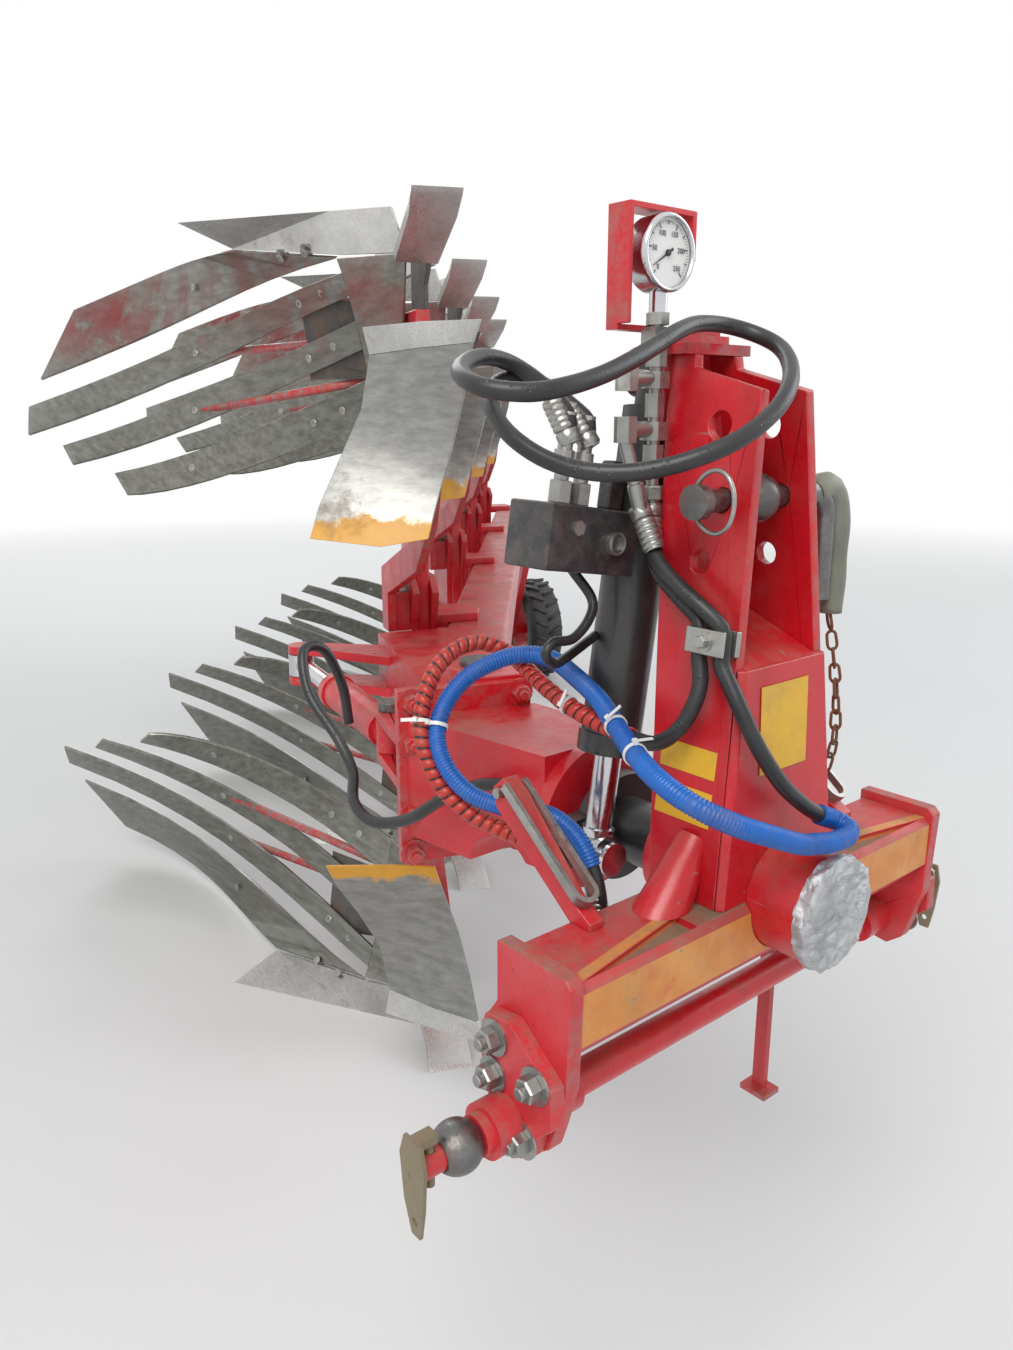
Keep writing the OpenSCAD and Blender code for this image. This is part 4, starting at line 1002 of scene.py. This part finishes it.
def board_bolts():
    """Plough bolts: flat round heads on the face, nuts on the back."""
    heads, nuts = bmesh.new(), bmesh.new()
    head = [(0.0105, 0), (0.0105, 0.0006), (0.0095, 0.0016), (0.0045, 0.0016), (0.0045, 0.0008), (0, 0.0008)]
    for upper in (0, 1):
        for i in range(4):
            for low, high in SLAT_BANDS:
                t = (low + high) / 2
                for s in (0.09, 0.16, 0.5):
                    p, n = board(s, t), board_back(s, t)
                    at, back = in_body(i, upper, *p), in_body(i, upper, *(p + n * SLAT_T))
                    out = (back - at).normalized()
                    add_lathe(heads, at, -out, head, 16)
                    add_bolt(nuts, back, out, 0.019, spin=0.3 + i)
    piece("slat_bolt_heads", heads, ZINC, "frame", smooth=False)
    piece("slat_bolt_nuts", nuts, ZINC, "frame", smooth=False)


def board_stays():
    """Tubes behind the slats that brace them from the leg's foot."""
    bm = bmesh.new()
    for upper in (0, 1):
        for i in range(4):
            for t, h in ((0.42, 250), (0.67, 330)):
                end = board(0.5, t) + board_back(0.5, t) * (SLAT_T + 3)
                add_tube(bm, [in_body(i, upper, -40, 372, h), in_body(i, upper, *end)], 0.011, 14)
    piece("board_stays", bm, RED_SOILED, "frame")


board_bolts()
board_stays()

# ---------------------------------------------------------------- depth wheel
def depth_wheel():
    """Lugged tyre on a dished rim, in the place of the plain wheel."""
    corners = [Vector(c) for c in nodes["wheel"].bound_box]
    centre = nodes["wheel"].matrix_world @ (sum(corners, Vector()) / 8)
    axis = in_frame(1, 0, 0) - in_frame(0, 0, 0)
    half = [(0.148, 0.074), (0.163, 0.087), (0.2, 0.0965), (0.24, 0.096), (0.266, 0.082), (0.277, 0.055), (0.28, 0.0)]
    bm = bmesh.new()
    add_lathe(bm, centre, axis, [(r, -h) for r, h in half] + [(r, h) for r, h in reversed(half[:-1])], 72)
    spot = frame_at(centre, axis)
    for k in range(44):
        side = 1 if k % 2 else -1
        m = spot @ Matrix.Rotation(2 * math.pi * k / 44, 4, "Z") @ Matrix.Translation((0.2805, 0, side * 0.04))
        box(bm, m @ Matrix.Rotation(side * 0.5, 4, "X"), (0.0165, 0.017, 0.082))
    tyre = piece("wheel_tyre", bm, TYRE, "wheel")
    rim = bmesh.new()
    dish = [(0, 0.012), (0.05, 0.012), (0.052, -0.004), (0.1, -0.012), (0.128, -0.05), (0.14, -0.068), (0.158, -0.078)]
    back = [(0.162, -0.074), (0.148, -0.06), (0.142, 0.06), (0.162, 0.074), (0.158, 0.078), (0.14, 0.068)]
    add_lathe(rim, centre, axis, dish + back + [(0.128, 0.03), (0.1, 0.022), (0, 0.022)], 48)
    for k in range(5):
        a = 2 * math.pi * k / 5
        for face, way in ((0.022, 1), (-0.008, -1)):
            at = spot @ Vector((0.075 * math.cos(a), 0.075 * math.sin(a), face))
            add_bolt(rim, at, Vector(axis) * way, 0.022, spin=a)
    rim_obj = piece("wheel_rim", rim, RED, "wheel", smooth=False)
    return tyre, rim_obj


for o in depth_wheel():
    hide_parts("wheel")

# ---------------------------------------------------------------- stage and light
def pale_floor(name, colour, rough):
    """Plain pale floor that turns to the background's white far from the plough."""
    m = Mat(name, rough=rough)
    m.set("Base Color", m.mix(m.noise(0.6, 3), colour, tuple(c * 0.97 for c in colour)))
    away = m.tree.nodes.new("ShaderNodeVectorMath")
    away.operation = "LENGTH"
    m.put(away.inputs[0], m.place)
    glow = m.tree.nodes.new("ShaderNodeEmission")
    both = m.tree.nodes.new("ShaderNodeMixShader")
    m.put(both.inputs[0], m.span(away.outputs["Value"], 3.2, 12.0))
    m.tree.links.new(m.bsdf.outputs[0], both.inputs[1])
    m.tree.links.new(glow.outputs[0], both.inputs[2])
    out = next(n for n in m.tree.nodes if n.type == "OUTPUT_MATERIAL")
    m.tree.links.new(both.outputs[0], out.inputs[0])
    return m.mat


bm = bmesh.new()
bmesh.ops.create_grid(bm, x_segments=1, y_segments=1, size=60)
mesh = bpy.data.meshes.new("floor")
bm.to_mesh(mesh)
bm.free()
floor = bpy.data.objects.new("floor", mesh)
mesh.materials.append(pale_floor("floor", (0.75, 0.75, 0.74), 0.9))
bpy.context.scene.collection.objects.link(floor)

sky = bpy.data.worlds.new("studio")
bpy.context.scene.world = sky
sky.use_nodes = True
tree = sky.node_tree
tree.nodes.clear()
out = tree.nodes.new("ShaderNodeOutputWorld")
mix = tree.nodes.new("ShaderNodeMixShader")
dim, white = tree.nodes.new("ShaderNodeBackground"), tree.nodes.new("ShaderNodeBackground")
dim.inputs[0].default_value = (0.9, 0.95, 1.0, 1)
dim.inputs[1].default_value = 0.5
white.inputs[0].default_value = (1, 1, 1, 1)
white.inputs[1].default_value = 1.0
path = tree.nodes.new("ShaderNodeLightPath")
seen = path.outputs["Is Camera Ray"]
for ray in ("Is Glossy Ray", "Is Transmission Ray"):
    join = tree.nodes.new("ShaderNodeMath")
    join.operation = "MAXIMUM"
    tree.links.new(seen, join.inputs[0])
    tree.links.new(path.outputs[ray], join.inputs[1])
    seen = join.outputs[0]
tree.links.new(seen, mix.inputs[0])
tree.links.new(dim.outputs[0], mix.inputs[1])
tree.links.new(white.outputs[0], mix.inputs[2])
tree.links.new(mix.outputs[0], out.inputs[0])


def lamp(name, at, to, size, watts, colour=(1, 1, 1)):
    data = bpy.data.lights.new(name, "AREA")
    data.shape = "DISK"
    data.size = size
    data.energy = watts
    data.color = colour
    obj = bpy.data.objects.new(name, data)
    bpy.context.scene.collection.objects.link(obj)
    obj.location = at
    obj.rotation_mode = "QUATERNION"
    obj.rotation_quaternion = (Vector(to) - Vector(at)).to_track_quat("-Z", "Y")


lamp("key", (-5.5, -5.0, 6.5), (-0.6, -1.2, 0.9), 5.0, 430, (1.0, 0.98, 0.95))
lamp("fill", (5.5, -4.0, 4.5), (0, -0.6, 0.9), 5.0, 150, (0.93, 0.96, 1.0))
lamp("back", (2.0, 6.5, 6.0), (0, 0, 0.8), 5.0, 200)

view_settings = bpy.context.scene.view_settings
view_settings.view_transform = "Standard"
